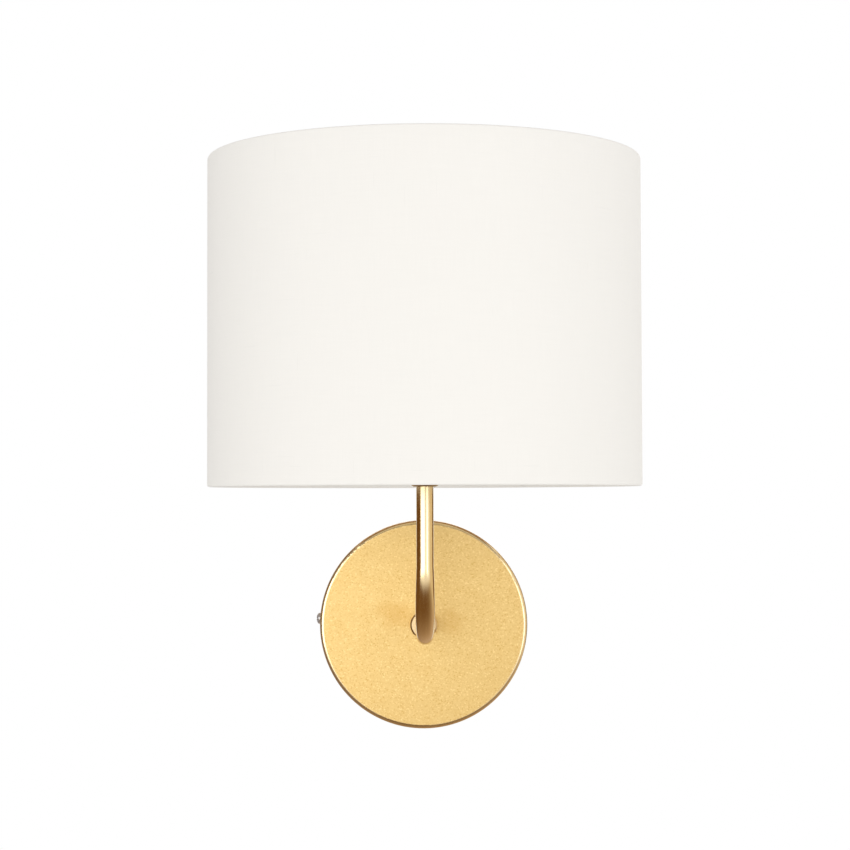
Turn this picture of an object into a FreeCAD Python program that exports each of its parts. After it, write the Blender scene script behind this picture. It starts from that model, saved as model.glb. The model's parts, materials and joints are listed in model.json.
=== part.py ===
import FreeCAD, Part
import math
import os
import Sketcher

V = FreeCAD.Vector
Rotation = FreeCAD.Rotation

# Driving dimensions in millimetres, degrees and counts
SIZES = {
    # Wall plate, a pressed cup with a rounded edge
    "cover_radius": 54.2,
    "cover_depth": 25.0,
    "cover_sheet": 1.0,
    "cover_edge_radius": 2.0,
    "fit_gap": 0.05,
    "clearance": 0.3,
    # Bracket on the wall, bent from a strip
    "bracket_sheet": 1.5,
    "bracket_width": 16.0,
    "ear_height": 18.0,
    "ear_gap": 0.9,
    "bend_inside_radius": 1.0,
    "slot_spacing": 64.0,
    "slot_length": 16.0,
    "slot_radius": 2.5,
    "cable_hole_radius": 5.0,
    "tongue_width": 32.0,
    "tongue_length": 26.0,
    "tongue_corner": 3.0,
    # Side screw on the left and riveted peg on the right
    "side_screw_height": 12.5,
    "side_screw_rise": 2.7,
    "side_screw_radius": 1.5,
    "side_screw_length": 6.0,
    "side_head_radius": 2.9,
    "side_head_height": 2.2,
    "side_head_rounding": 1.2,
    "hole_play": 0.2,
    "peg_head_radius": 2.6,
    "peg_head_height": 0.8,
    # Arm, a tube with a quarter bend and a turned collar at each end
    "tube_radius": 4.0,
    "tube_wall": 1.0,
    "arm_reach": 130.0,
    "arm_bend_radius": 34.0,
    "shade_rise": 71.0,
    "thread_radius": 5.0,
    "root_collar_radius": 7.05,
    "root_collar_height": 5.0,
    "root_collar_chamfer": 0.8,
    "root_seat_depth": 8.0,
    "root_thread_length": 9.5,
    "top_collar_radius": 6.25,
    "top_collar_height": 8.0,
    "top_collar_chamfer": 0.6,
    "top_collar_dish": 1.05,
    "top_seat_depth": 6.0,
    "top_thread_length": 7.0,
    # What holds the arm's root behind the plate
    "stiffener_radius": 14.0,
    "stiffener_sheet": 1.5,
    "star_radius": 9.0,
    "star_sheet": 0.8,
    "star_teeth": 10,
    "star_tooth_depth": 1.6,
    "star_gap_width": 1.4,
    "nut_across_flats": 14.0,
    "nut_height": 3.0,
    "bush_flange_radius": 4.6,
    "bush_flange": 1.0,
    "bush_wall": 0.6,
    "bush_length": 5.0,
    # Terminal block with three poles
    "pole_pitch": 9.0,
    "block_length": 18.0,
    "block_height": 13.0,
    "block_drop": 13.0,
    "sleeve_radius": 2.5,
    "sleeve_wall": 0.9,
    "sleeve_height": 4.5,
    "sleeve_inset": 1.0,
    "clamp_screw_radius": 1.3,
    "clamp_screw_length": 4.0,
    "clamp_screw_spacing": 9.0,
    "fixing_screw_radius": 1.45,
    "fixing_head_radius": 2.6,
    "fixing_head_height": 1.6,
    "fixing_seat_height": 7.7,
    # Earth screw and its crimped lug
    "earth_screw_x": 16.0,
    "earth_screw_radius": 2.0,
    "earth_head_radius": 3.8,
    "earth_head_height": 2.4,
    "lug_radius": 4.2,
    "lug_sheet": 0.8,
    "lug_barrel_radius": 1.9,
    "lug_barrel_length": 7.0,
    "lug_neck_length": 0.4,
    # Insulated wires
    "wire_radius": 1.05,
    "wire_offset": 1.15,
    "wire_exit_run": 6.5,
    "wire_splay_run": 5.0,
    "wire_end_gap": 1.5,
    "earth_loop_rise": 6.0,
    # Lampholder for a small screw cap
    "holder_radius": 13.0,
    "holder_foot_radius": 9.0,
    "holder_height": 23.0,
    "holder_wall": 2.0,
    "holder_floor": 8.0,
    "holder_lip": 3.0,
    "skirt_radius": 14.0,
    "skirt_wall": 1.8,
    "skirt_flange_radius": 18.0,
    "skirt_flange": 2.5,
    "skirt_length": 31.0,
    "insert_disc_height": 6.0,
    "insert_rise": 11.0,
    "insert_cup_radius": 9.4,
    "insert_cup_height": 17.0,
    "insert_floor": 1.0,
    "insert_shelf": 1.2,
    "shell_wall": 0.5,
    "shell_length": 16.0,
    "shell_rise": 2.0,
    "terminal_x": 6.0,
    "terminal_screw_radius": 1.3,
    "terminal_screw_length": 6.0,
    "contact_sheet": 0.4,
    "contact_width": 4.0,
    "contact_rise": 2.0,
    "contact_reach": 5.0,
    # Shade ring that clamps the shade's frame
    "ring_radius": 20.0,
    "ring_flange": 2.0,
    "ring_grip_radius": 17.6,
    "ring_height": 7.0,
    "ring_grooves": 12,
    "ring_groove_radius": 1.2,
    "ring_thread_play": 0.08,
    # Shade and its wire frame
    "shade_radius": 100.0,
    "shade_height": 151.0,
    "fabric": 0.45,
    "liner": 0.4,
    "frame_wire_radius": 1.2,
    "hem_height": 9.0,
    "lap_width": 12.0,
    "fitter_radius": 21.0,
    "fitter_sheet": 1.5,
    "fitter_arm_radius": 1.3,
    "fitter_arm_run": 12.0,
    "fitter_arms": 3,
    "notch_width": 5.0,
    # Slim tubular bulb
    "bulb_cap_radius": 6.95,
    "bulb_cap_wall": 0.4,
    "bulb_cap_length": 17.6,
    "bulb_cap_shoulder": 1.3,
    "bulb_contact_radius": 2.4,
    "bulb_contact_height": 1.2,
    "bulb_insulator_height": 2.2,
    "bulb_play": 0.08,
    "bulb_length": 85.0,
    "bulb_radius": 12.5,
    "bulb_glass": 0.8,
    "bulb_neck_inset": 7.0,
    "bulb_neck_height": 1.5,
    "stem_radius": 2.2,
    "stem_length": 22.0,
    "stem_flare_height": 5.0,
    "filament_radius": 0.75,
    "filament_length": 34.0,
    "filament_count": 4,
    "filament_circle": 5.0,
    "filament_wire_radius": 0.35,
}


class Size(float):
    """A length that remembers the sheet formula it was worked out from."""

    def __new__(cls, number, formula):
        size = float.__new__(cls, number)
        size.formula = formula
        return size

    def __add__(self, other):
        return Size(float(self) + float(other), "(%s + %s)" % (self.formula, formula_of(other)))

    def __sub__(self, other):
        return Size(float(self) - float(other), "(%s - %s)" % (self.formula, formula_of(other)))

    def __rsub__(self, other):
        return Size(float(other) - float(self), "(%s - %s)" % (formula_of(other), self.formula))

    def __mul__(self, other):
        return Size(float(self) * float(other), "(%s * %s)" % (self.formula, formula_of(other)))

    def __truediv__(self, other):
        return Size(float(self) / float(other), "(%s / %s)" % (self.formula, formula_of(other)))

    def __neg__(self):
        return Size(-float(self), "(-1 * %s)" % self.formula)

    __radd__ = __add__
    __rmul__ = __mul__


def formula_of(value):
    return getattr(value, "formula", None) or repr(float(value))


doc = FreeCAD.newDocument("WallLight")
sheet = doc.addObject("Spreadsheet::Sheet", "Sizes")
for row, (alias, number) in enumerate(SIZES.items(), start=1):
    sheet.set("A%d" % row, alias.replace("_", " "))
    sheet.set("B%d" % row, str(number))
    sheet.setAlias("B%d" % row, alias)
doc.recompute()


class Sheet:
    """Reads a driving dimension from the sheet by its alias."""

    def __getattr__(self, alias):
        return Size(sheet.get(alias), "Sizes." + alias)


s = Sheet()

# Levels and places that several pieces share
AXIS_DISTANCE = s.cover_depth + s.arm_reach
COVER_INSIDE = s.cover_depth - s.cover_sheet
EAR_FACE = s.cover_radius - s.cover_sheet - s.ear_gap
TUBE_BORE = s.tube_radius - s.tube_wall
STAR_LEVEL = COVER_INSIDE - s.stiffener_sheet
NUT_LEVEL = STAR_LEVEL - s.star_sheet
ROOT_END = s.cover_depth - s.root_thread_length
TUBE_START = s.cover_depth + s.root_collar_height - s.root_seat_depth
HOLDER_TOP = s.top_collar_height + s.holder_height
HOLDER_BORE = s.holder_radius - s.holder_wall
SKIRT_BORE = s.skirt_radius - s.skirt_wall
FITTER_LEVEL = HOLDER_TOP + s.skirt_flange
RING_LEVEL = FITTER_LEVEL + s.fitter_sheet
INSERT_LEVEL = s.top_collar_height + s.holder_floor + s.insert_rise
INSERT_DISC_TOP = INSERT_LEVEL + s.insert_disc_height
INSERT_FLOOR = INSERT_DISC_TOP + s.insert_floor
TERMINAL_LEVEL = INSERT_LEVEL + s.insert_disc_height / 2
SHELL_BORE = s.bulb_cap_radius + s.bulb_play
SHELL_LEVEL = INSERT_FLOOR + s.shell_rise
BULB_LEVEL = INSERT_FLOOR + s.contact_rise
BULB_INSULATOR_LEVEL = BULB_LEVEL + s.bulb_contact_height
BULB_CAP_LEVEL = BULB_INSULATOR_LEVEL + s.bulb_insulator_height
BULB_CAP_TOP = BULB_CAP_LEVEL + s.bulb_cap_length
BULB_CAP_BORE = s.bulb_cap_radius - s.bulb_cap_wall
BULB_NECK_LEVEL = BULB_CAP_TOP - s.bulb_neck_inset
BULB_TOP = BULB_LEVEL + s.bulb_length
FILAMENT_LEVEL = BULB_NECK_LEVEL + s.stem_length
HEM_RADIUS = s.fabric + s.liner + s.frame_wire_radius
FRAME_RADIUS = s.shade_radius - HEM_RADIUS
LINER_BORE = s.shade_radius - s.fabric - s.liner
SLEEVE_LEVEL = s.bracket_sheet + s.sleeve_height
BLOCK_MIDDLE = -s.block_drop - s.block_length / 2
LUG_BARREL_LEVEL = s.bracket_sheet + s.lug_barrel_radius
WIRE_BEND_SHARE = 0.45
POLES = (-1, 0, 1)


# Sketches and features
def bind(thing, name, value):
    """Set a property, tied to the sheet where its value comes from there."""
    if isinstance(value, Size):
        thing.setExpression(name, value.formula)
    else:
        setattr(thing, name, value)


def place(thing, frame):
    """Wall pieces have their z away from the wall. Lamp and shade pieces stand on the shade's axis,
    with z up from the shade's lower edge, and a shade piece's x points away from the wall."""
    if frame == "wall":
        thing.Placement = FreeCAD.Placement(V(), Rotation(V(1, 0, 0), 90))
    elif frame in ("lamp", "shade"):
        turn = -90 if frame == "shade" else 0
        thing.Placement = FreeCAD.Placement(V(), Rotation(V(0, 0, 1), turn))
        bind(thing, "Placement.Base.y", -AXIS_DISTANCE)
        bind(thing, "Placement.Base.z", s.shade_rise)


def new_body(label, frame="world"):
    body = doc.addObject("PartDesign::Body", "".join(word.title() for word in label.split("_")))
    body.Label = label
    place(body, frame)
    return body


def origin_of(body, role):
    return next(feature for feature in body.Origin.OriginFeatures if feature.Role == role)


def new_sketch(body, name, plane, level=0.0):
    """An empty sketch on one of the body's planes, moved along the plane's normal by the level."""
    sketch = body.newObject("Sketcher::SketchObject", body.Name + name + "Sketch")
    sketch.AttachmentSupport = [(origin_of(body, plane), "")]
    sketch.MapMode = "FlatFace"
    sketch.AttachmentOffset = FreeCAD.Placement(V(0, 0, float(level)), Rotation())
    if isinstance(level, Size):
        bind(sketch, "AttachmentOffset.Base.z", level)
    return sketch


def constrain(sketch, kind, value, *geometry):
    index = sketch.addConstraint(Sketcher.Constraint(kind, *geometry, float(value)))
    if isinstance(value, Size):
        bind(sketch, "Constraints[%d]" % index, value)


def pin_point(sketch, geometry, end, x, y):
    constrain(sketch, "DistanceX", x, -1, 1, geometry, end)
    constrain(sketch, "DistanceY", y, -1, 1, geometry, end)


def draw_arc(sketch, start, finish, centre, turn):
    """An arc of up to half a circle, anticlockwise where turn is 1. Returns its own start and end."""
    first, last = (start, finish) if turn > 0 else (finish, start)
    low = math.atan2(first[1] - centre[1], first[0] - centre[0])
    high = math.atan2(last[1] - centre[1], last[0] - centre[0])
    if high < low:
        high += 2 * math.pi
    middle = V(centre[0], centre[1], 0)
    radius = middle.distanceToPoint(V(start[0], start[1], 0))
    number = sketch.addGeometry(Part.ArcOfCircle(Part.Circle(middle, V(0, 0, 1), radius), low, high))
    if abs(start[0] - finish[0]) > abs(start[1] - finish[1]):
        constrain(sketch, "DistanceY", centre[1], -1, 1, number, 3)
    else:
        constrain(sketch, "DistanceX", centre[0], -1, 1, number, 3)
    return (1, 2) if turn > 0 else (2, 1)


def draw_path(sketch, corners, closed=True):
    """Straight sides and arcs through the corners. A corner (x, y, centre x, centre y, turn) is
    reached by an arc. A closed path's first corner may be one too, for its last side."""
    first = sketch.GeometryCount
    sides = len(corners) if closed else len(corners) - 1
    ends = []
    for index in range(sides):
        start, finish = corners[index], corners[(index + 1) % len(corners)]
        if len(finish) > 2:
            ends.append(draw_arc(sketch, start, finish, finish[2:4], finish[4]))
        else:
            line = Part.LineSegment(V(start[0], start[1], 0), V(finish[0], finish[1], 0))
            sketch.addGeometry(line)
            ends.append((1, 2))
    for index in range(sides):
        pin_point(sketch, first + index, ends[index][0], *corners[index][:2])
        after = (index + 1) % sides
        if closed or after:
            meeting = (first + index, ends[index][1], first + after, ends[after][0])
            sketch.addConstraint(Sketcher.Constraint("Coincident", *meeting))
    if not closed:
        pin_point(sketch, first + sides - 1, ends[-1][1], *corners[-1][:2])


def draw_circle(sketch, x, y, radius):
    number = sketch.addGeometry(Part.Circle(V(x, y, 0), V(0, 0, 1), float(radius)))
    pin_point(sketch, number, 3, x, y)
    constrain(sketch, "Radius", radius, number)


def draw_slot(sketch, x, y, length, radius):
    reach = length / 2 - radius
    draw_path(sketch, [
        (x - reach, y - radius, x - reach, y, 1),
        (x + reach, y - radius),
        (x + reach, y + radius, x + reach, y, 1),
        (x - reach, y + radius),
    ])


def draw_box(sketch, left, low, right, high):
    draw_path(sketch, [(left, low), (right, low), (right, high), (left, high)])


def revolve(body, name, corners, angle=360):
    """Turn an outline of (radius, height) corners about the body's z axis, both ways from its plane
    where the angle is less than a full turn."""
    sketch = new_sketch(body, name, "XZ_Plane")
    draw_path(sketch, corners)
    feature = body.newObject("PartDesign::Revolution", body.Name + name)
    feature.Profile = sketch
    feature.ReferenceAxis = (sketch, ["V_Axis"])
    feature.Midplane = angle < 360
    bind(feature, "Angle", angle)
    return feature


def turned(label, frame, corners):
    body = new_body(label, frame)
    revolve(body, "Turned", corners)
    return body


def wire_ring(label, level):
    """A round wire ring inside one of the shade's hems."""
    body = new_body(label, "shade")
    sketch = new_sketch(body, "Wire", "XZ_Plane")
    draw_circle(sketch, FRAME_RADIUS, level, s.frame_wire_radius)
    feature = body.newObject("PartDesign::Revolution", body.Name + "Ring")
    feature.Profile = sketch
    feature.ReferenceAxis = (sketch, ["V_Axis"])
    feature.Angle = 360
    return body


def pad(body, name, sketch, length, midplane=False, backwards=False):
    feature = body.newObject("PartDesign::Pad", body.Name + name)
    feature.Profile = sketch
    feature.Midplane = midplane
    feature.Reversed = backwards
    bind(feature, "Length", length)
    return feature


def pocket(body, name, sketch, length=None, backwards=False):
    """Cut a sketch's shapes out, right through the body both ways where no length is given."""
    doc.recompute()
    before = body.Shape.Volume
    feature = body.newObject("PartDesign::Pocket", body.Name + name)
    feature.Profile = sketch
    if length is None:
        feature.Type = "ThroughAll"
        feature.Midplane = True
    else:
        feature.Reversed = backwards
        bind(feature, "Length", length)
    doc.recompute()
    if body.Shape.Volume > before - 1e-6:
        raise RuntimeError("%s %s cuts nothing" % (body.Label, name))
    return feature


def repeat_round(body, feature, count):
    """Copies of a feature spaced evenly round the body's z axis."""
    pattern = body.newObject("PartDesign::PolarPattern", feature.Name + "Round")
    pattern.Originals = [feature]
    pattern.Axis = (origin_of(body, "Z_Axis"), [""])
    pattern.Angle = 360
    bind(pattern, "Occurrences", count)
    body.Tip = pattern
    return pattern


def feature_from(label, shape, frame="world"):
    feature = doc.addObject("Part::Feature", "".join(word.title() for word in label.split("_")))
    feature.Label = label
    feature.Shape = shape
    place(feature, frame)
    return feature


def bent_wire(radius, points, bends=None):
    """A round wire along straight runs joined by tangent arcs, each as large as its two runs allow
    unless bends gives its radius by the point's number."""
    points = [V(*point) for point in points]
    edges = []
    here = points[0]
    for number in range(1, len(points) - 1):
        corner = points[number]
        into = (corner - points[number - 1]).normalize()
        out = (points[number + 1] - corner).normalize()
        half_turn = into.getAngle(out) / 2
        shorter = min(corner.distanceToPoint(points[number + step]) for step in (-1, 1))
        bend = (bends or {}).get(number, WIRE_BEND_SHARE * shorter / math.tan(half_turn))
        reach = bend * math.tan(half_turn)
        start, finish = corner - into * reach, corner + out * reach
        inward = (out - into).normalize()
        middle = corner + inward * (bend / math.cos(half_turn) - bend)
        if here.distanceToPoint(start) > 1e-6:
            edges.append(Part.LineSegment(here, start).toShape())
        edges.append(Part.Arc(start, middle, finish).toShape())
        here = finish
    edges.append(Part.LineSegment(here, points[-1]).toShape())
    path = Part.Wire(edges)
    along = (points[1] - points[0]).normalize()
    section = Part.Wire(Part.Circle(points[0], along, float(radius)).toShape())
    wire = path.makePipeShell([section], True, False)
    expected = math.pi * radius ** 2 * path.Length
    if abs(wire.Volume - expected) > 0.01 * expected:
        raise RuntimeError("a bent wire has lost its round section")
    return wire


# Wall plate, its bracket and what holds them together
def make_cover():
    depth, radius, metal, edge = s.cover_depth, s.cover_radius, s.cover_sheet, s.cover_edge_radius
    hole = s.thread_radius + s.hole_play
    body = turned("backplate_cover", "wall", [
        (hole, depth),
        (hole, depth - metal),
        (radius - edge, depth - metal),
        (radius - metal, depth - edge, radius - edge, depth - edge, -1),
        (radius - metal, 0),
        (radius, 0),
        (radius, depth - edge),
        (radius - edge, depth, radius - edge, depth - edge, 1),
    ])
    side_holes = new_sketch(body, "SideHoles", "YZ_Plane")
    draw_circle(side_holes, s.side_screw_rise, s.side_screw_height, s.side_screw_radius + s.hole_play)
    pocket(body, "SideHoles", side_holes)


def make_bracket():
    metal, face, ears, inside = s.bracket_sheet, EAR_FACE, s.ear_height, s.bend_inside_radius
    bend = inside + metal
    body = new_body("mounting_bracket", "wall")
    strip = new_sketch(body, "Strip", "XZ_Plane")
    draw_path(strip, [
        (-face, bend),
        (bend - face, 0, bend - face, bend, 1),
        (face - bend, 0),
        (face, bend, face - bend, bend, 1),
        (face, ears),
        (face - metal, ears),
        (face - metal, bend),
        (face - bend, metal, face - bend, bend, -1),
        (bend - face, metal),
        (metal - face, bend, bend - face, bend, -1),
        (metal - face, ears),
        (-face, ears),
    ])
    pad(body, "Strip", strip, s.bracket_width, midplane=True)
    tongue = new_sketch(body, "Tongue", "XY_Plane")
    foot = -s.bracket_width / 2 - s.tongue_length
    side, corner = s.tongue_width / 2, s.tongue_corner
    draw_path(tongue, [
        (side, 0),
        (-side, 0),
        (-side, foot + corner),
        (corner - side, foot, corner - side, foot + corner, 1),
        (side - corner, foot),
        (side, foot + corner, side - corner, foot + corner, 1),
    ])
    pad(body, "Tongue", tongue, metal)
    side_holes = new_sketch(body, "SideHoles", "YZ_Plane")
    draw_circle(side_holes, s.side_screw_rise, s.side_screw_height, s.side_screw_radius + s.fit_gap)
    pocket(body, "SideHoles", side_holes)
    slots = new_sketch(body, "WallSlots", "XY_Plane")
    for side in (-1, 1):
        draw_slot(slots, side * s.slot_spacing / 2, 0, s.slot_length, s.slot_radius)
    draw_circle(slots, 0, 0, s.cable_hole_radius)
    draw_circle(slots, s.earth_screw_x, 0, s.earth_screw_radius + s.fit_gap)
    for side in (-1, 1):
        draw_circle(slots, side * s.pole_pitch / 2, BLOCK_MIDDLE, s.fixing_screw_radius + s.fit_gap)
    pocket(body, "WallSlots", slots)


def make_side_fixings():
    radius, height, edge = s.side_head_radius, s.side_head_height, s.side_head_rounding
    screw = turned("cover_side_screw", "world", [
        (0, -s.side_screw_length),
        (s.side_screw_radius, -s.side_screw_length),
        (s.side_screw_radius, 0),
        (radius, 0),
        (radius, height - edge),
        (radius - edge, height, radius - edge, height - edge, 1),
        (0, height),
    ])
    peg_start = EAR_FACE - s.bracket_sheet
    peg = turned("cover_locating_peg", "world", [
        (0, -s.peg_head_height),
        (s.peg_head_radius, -s.peg_head_height),
        (s.peg_head_radius, 0),
        (s.side_screw_radius, 0),
        (s.side_screw_radius, s.cover_radius - s.hole_play - peg_start),
        (0, s.cover_radius - s.hole_play - peg_start),
    ])
    for body, side, distance in ((screw, -1, s.cover_radius), (peg, 1, peg_start)):
        body.Placement = FreeCAD.Placement(V(), Rotation(V(0, 0, 1), V(side, 0, 0)))
        bind(body, "Placement.Base.x", side * distance)
        bind(body, "Placement.Base.y", -s.side_screw_height)
        bind(body, "Placement.Base.z", s.side_screw_rise)


# Arm and what fastens its root
def make_arm_tube():
    body = new_body("arm_tube")
    bend = s.arm_bend_radius
    route = new_sketch(body, "Route", "YZ_Plane")
    draw_path(route, [
        (-TUBE_START, 0),
        (bend - AXIS_DISTANCE, 0),
        (-AXIS_DISTANCE, bend, bend - AXIS_DISTANCE, bend, -1),
        (-AXIS_DISTANCE, s.shade_rise + s.top_seat_depth),
    ], closed=False)
    section = new_sketch(body, "Section", "XZ_Plane", TUBE_START)
    draw_circle(section, 0, 0, s.tube_radius)
    draw_circle(section, 0, 0, TUBE_BORE)
    tube = body.newObject("PartDesign::AdditivePipe", "ArmTubeBend")
    tube.Profile = section
    tube.Spine = (route, [])


def make_collars():
    seat = s.tube_radius + s.fit_gap
    front = s.cover_depth + s.root_collar_height
    turned("arm_root_collar", "wall", [
        (TUBE_BORE, ROOT_END),
        (s.thread_radius, ROOT_END),
        (s.thread_radius, s.cover_depth),
        (s.root_collar_radius, s.cover_depth),
        (s.root_collar_radius, front - s.root_collar_chamfer),
        (s.root_collar_radius - s.root_collar_chamfer, front),
        (seat, front),
        (seat, TUBE_START),
        (TUBE_BORE, TUBE_START),
    ])
    thread_end = s.top_collar_height + s.top_thread_length
    turned("arm_top_collar", "lamp", [
        (seat, 0),
        (s.top_collar_radius - s.top_collar_dish, 0),
        (s.top_collar_radius, s.top_collar_chamfer),
        (s.top_collar_radius, s.top_collar_height),
        (s.thread_radius, s.top_collar_height),
        (s.thread_radius, thread_end),
        (TUBE_BORE, thread_end),
        (TUBE_BORE, s.top_seat_depth),
        (seat, s.top_seat_depth),
    ])


def make_root_fastening():
    hole = s.thread_radius + s.fit_gap
    turned("arm_stiffening_washer", "wall", [
        (hole, STAR_LEVEL),
        (s.stiffener_radius, STAR_LEVEL),
        (s.stiffener_radius, COVER_INSIDE),
        (hole, COVER_INSIDE),
    ])
    star = turned("arm_star_washer", "wall", [
        (hole, NUT_LEVEL),
        (s.star_radius, NUT_LEVEL),
        (s.star_radius, STAR_LEVEL),
        (hole, STAR_LEVEL),
    ])
    gap = new_sketch(star, "Gap", "XY_Plane")
    half_gap = s.star_gap_width / 2
    draw_box(gap, 0, -half_gap, hole + s.star_tooth_depth, half_gap)
    repeat_round(star, pocket(star, "Gap", gap), s.star_teeth)
    nut = new_body("arm_lock_nut", "wall")
    hexagon = new_sketch(nut, "Hexagon", "XY_Plane", NUT_LEVEL - s.nut_height)
    corner = s.nut_across_flats / 2 / math.cos(math.pi / 6)
    angles = [number * math.pi / 3 for number in range(6)]
    draw_path(hexagon, [(corner * math.cos(angle), corner * math.sin(angle)) for angle in angles])
    draw_circle(hexagon, 0, 0, hole)
    pad(nut, "Hexagon", hexagon, s.nut_height)
    bush = TUBE_BORE - s.fit_gap
    turned("wire_bush", "wall", [
        (bush - s.bush_wall, ROOT_END - s.bush_flange),
        (s.bush_flange_radius, ROOT_END - s.bush_flange),
        (s.bush_flange_radius, ROOT_END),
        (bush, ROOT_END),
        (bush, ROOT_END + s.bush_length),
        (bush - s.bush_wall, ROOT_END + s.bush_length),
    ])


# Terminal block and earth connection on the bracket
def make_terminal_block():
    base, top = s.bracket_sheet, s.bracket_sheet + s.block_height
    half_spacing = s.clamp_screw_spacing / 2
    screw_places = [
        (pole * s.pole_pitch, BLOCK_MIDDLE + end * half_spacing) for pole in POLES for end in (-1, 1)
    ]
    fixing_places = [(side * s.pole_pitch / 2, BLOCK_MIDDLE) for side in (-1, 1)]
    block = new_body("terminal_block_body", "wall")
    outline = new_sketch(block, "Outline", "XY_Plane", base)
    half_width = s.pole_pitch * len(POLES) / 2
    draw_box(outline, -half_width, -s.block_drop - s.block_length, half_width, -s.block_drop)
    pad(block, "Outline", outline, s.block_height)
    bores = new_sketch(block, "Bores", "XZ_Plane")
    for pole in POLES:
        draw_circle(bores, pole * s.pole_pitch, SLEEVE_LEVEL, s.sleeve_radius + s.fit_gap)
    pocket(block, "Bores", bores)
    towers = new_sketch(block, "Towers", "XY_Plane", top)
    for x, y in screw_places:
        draw_circle(towers, x, y, s.clamp_screw_radius + s.clearance)
    pocket(block, "Towers", towers, s.block_height - s.sleeve_height)
    fixings = new_sketch(block, "Fixings", "XY_Plane")
    for x, y in fixing_places:
        draw_circle(fixings, x, y, s.fixing_screw_radius + s.fit_gap)
    pocket(block, "Fixings", fixings)
    seats = new_sketch(block, "Seats", "XY_Plane", top)
    for x, y in fixing_places:
        draw_circle(seats, x, y, s.fixing_head_radius + s.fit_gap)
    pocket(block, "Seats", seats, s.block_height - s.fixing_seat_height)

    sleeves = new_body("terminal_block_sleeves", "wall")
    tubes = new_sketch(sleeves, "Tubes", "XZ_Plane", -BLOCK_MIDDLE)
    for pole in POLES:
        draw_circle(tubes, pole * s.pole_pitch, SLEEVE_LEVEL, s.sleeve_radius)
        draw_circle(tubes, pole * s.pole_pitch, SLEEVE_LEVEL, s.sleeve_radius - s.sleeve_wall)
    pad(sleeves, "Tubes", tubes, s.block_length - s.sleeve_inset * 2, midplane=True)
    taps = new_sketch(sleeves, "Taps", "XY_Plane", top)
    for x, y in screw_places:
        draw_circle(taps, x, y, s.clamp_screw_radius + s.fit_gap)
    pocket(sleeves, "Taps", taps, s.block_height - s.sleeve_height)

    screws = new_body("terminal_block_screws", "wall")
    shanks = new_sketch(screws, "Shanks", "XY_Plane", SLEEVE_LEVEL + s.wire_radius + s.fit_gap)
    for x, y in screw_places:
        draw_circle(shanks, x, y, s.clamp_screw_radius)
    pad(screws, "Shanks", shanks, s.clamp_screw_length)

    fixing_screws = new_body("terminal_block_fixing_screws", "wall")
    shanks = new_sketch(fixing_screws, "Shanks", "XY_Plane", s.clearance)
    heads = new_sketch(fixing_screws, "Heads", "XY_Plane", base + s.fixing_seat_height)
    for x, y in fixing_places:
        draw_circle(shanks, x, y, s.fixing_screw_radius)
        draw_circle(heads, x, y, s.fixing_head_radius)
    pad(fixing_screws, "Shanks", shanks, base + s.fixing_seat_height - s.clearance)
    pad(fixing_screws, "Heads", heads, s.fixing_head_height)


def make_earth_connection():
    lug_top = s.bracket_sheet + s.lug_sheet
    head_top = lug_top + s.earth_head_height
    screw = turned("earth_screw", "wall", [
        (0, s.clearance),
        (s.earth_screw_radius, s.clearance),
        (s.earth_screw_radius, lug_top),
        (s.earth_head_radius, lug_top),
        (s.earth_head_radius, head_top - s.side_head_rounding),
        (s.earth_head_radius - s.side_head_rounding, head_top,
         s.earth_head_radius - s.side_head_rounding, head_top - s.side_head_rounding, 1),
        (0, head_top),
    ])
    bind(screw, "Placement.Base.x", s.earth_screw_x)
    lug = new_body("earth_lug", "wall")
    bind(lug, "Placement.Base.x", s.earth_screw_x)
    barrel_end = s.lug_radius + s.lug_neck_length + s.lug_barrel_length
    eye = new_sketch(lug, "Eye", "XY_Plane", s.bracket_sheet)
    draw_circle(eye, 0, 0, s.lug_radius)
    pad(lug, "Eye", eye, s.lug_sheet)
    neck = new_sketch(lug, "Neck", "XY_Plane", s.bracket_sheet)
    half_neck = s.lug_barrel_radius / 2
    draw_box(neck, -half_neck, 0, half_neck, barrel_end - s.lug_barrel_length / 2)
    pad(lug, "Neck", neck, s.lug_sheet)
    barrel = new_sketch(lug, "Barrel", "XZ_Plane", -barrel_end)
    draw_circle(barrel, 0, LUG_BARREL_LEVEL, s.lug_barrel_radius)
    pad(lug, "Barrel", barrel, s.lug_barrel_length)
    hole = new_sketch(lug, "Hole", "XY_Plane")
    draw_circle(hole, 0, 0, s.earth_screw_radius + s.fit_gap)
    pocket(lug, "Hole", hole)
    bore = new_sketch(lug, "Bore", "XZ_Plane", -barrel_end)
    draw_circle(bore, 0, LUG_BARREL_LEVEL, s.wire_radius + s.fit_gap)
    pocket(lug, "Bore", bore, s.lug_barrel_length, backwards=True)


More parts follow.
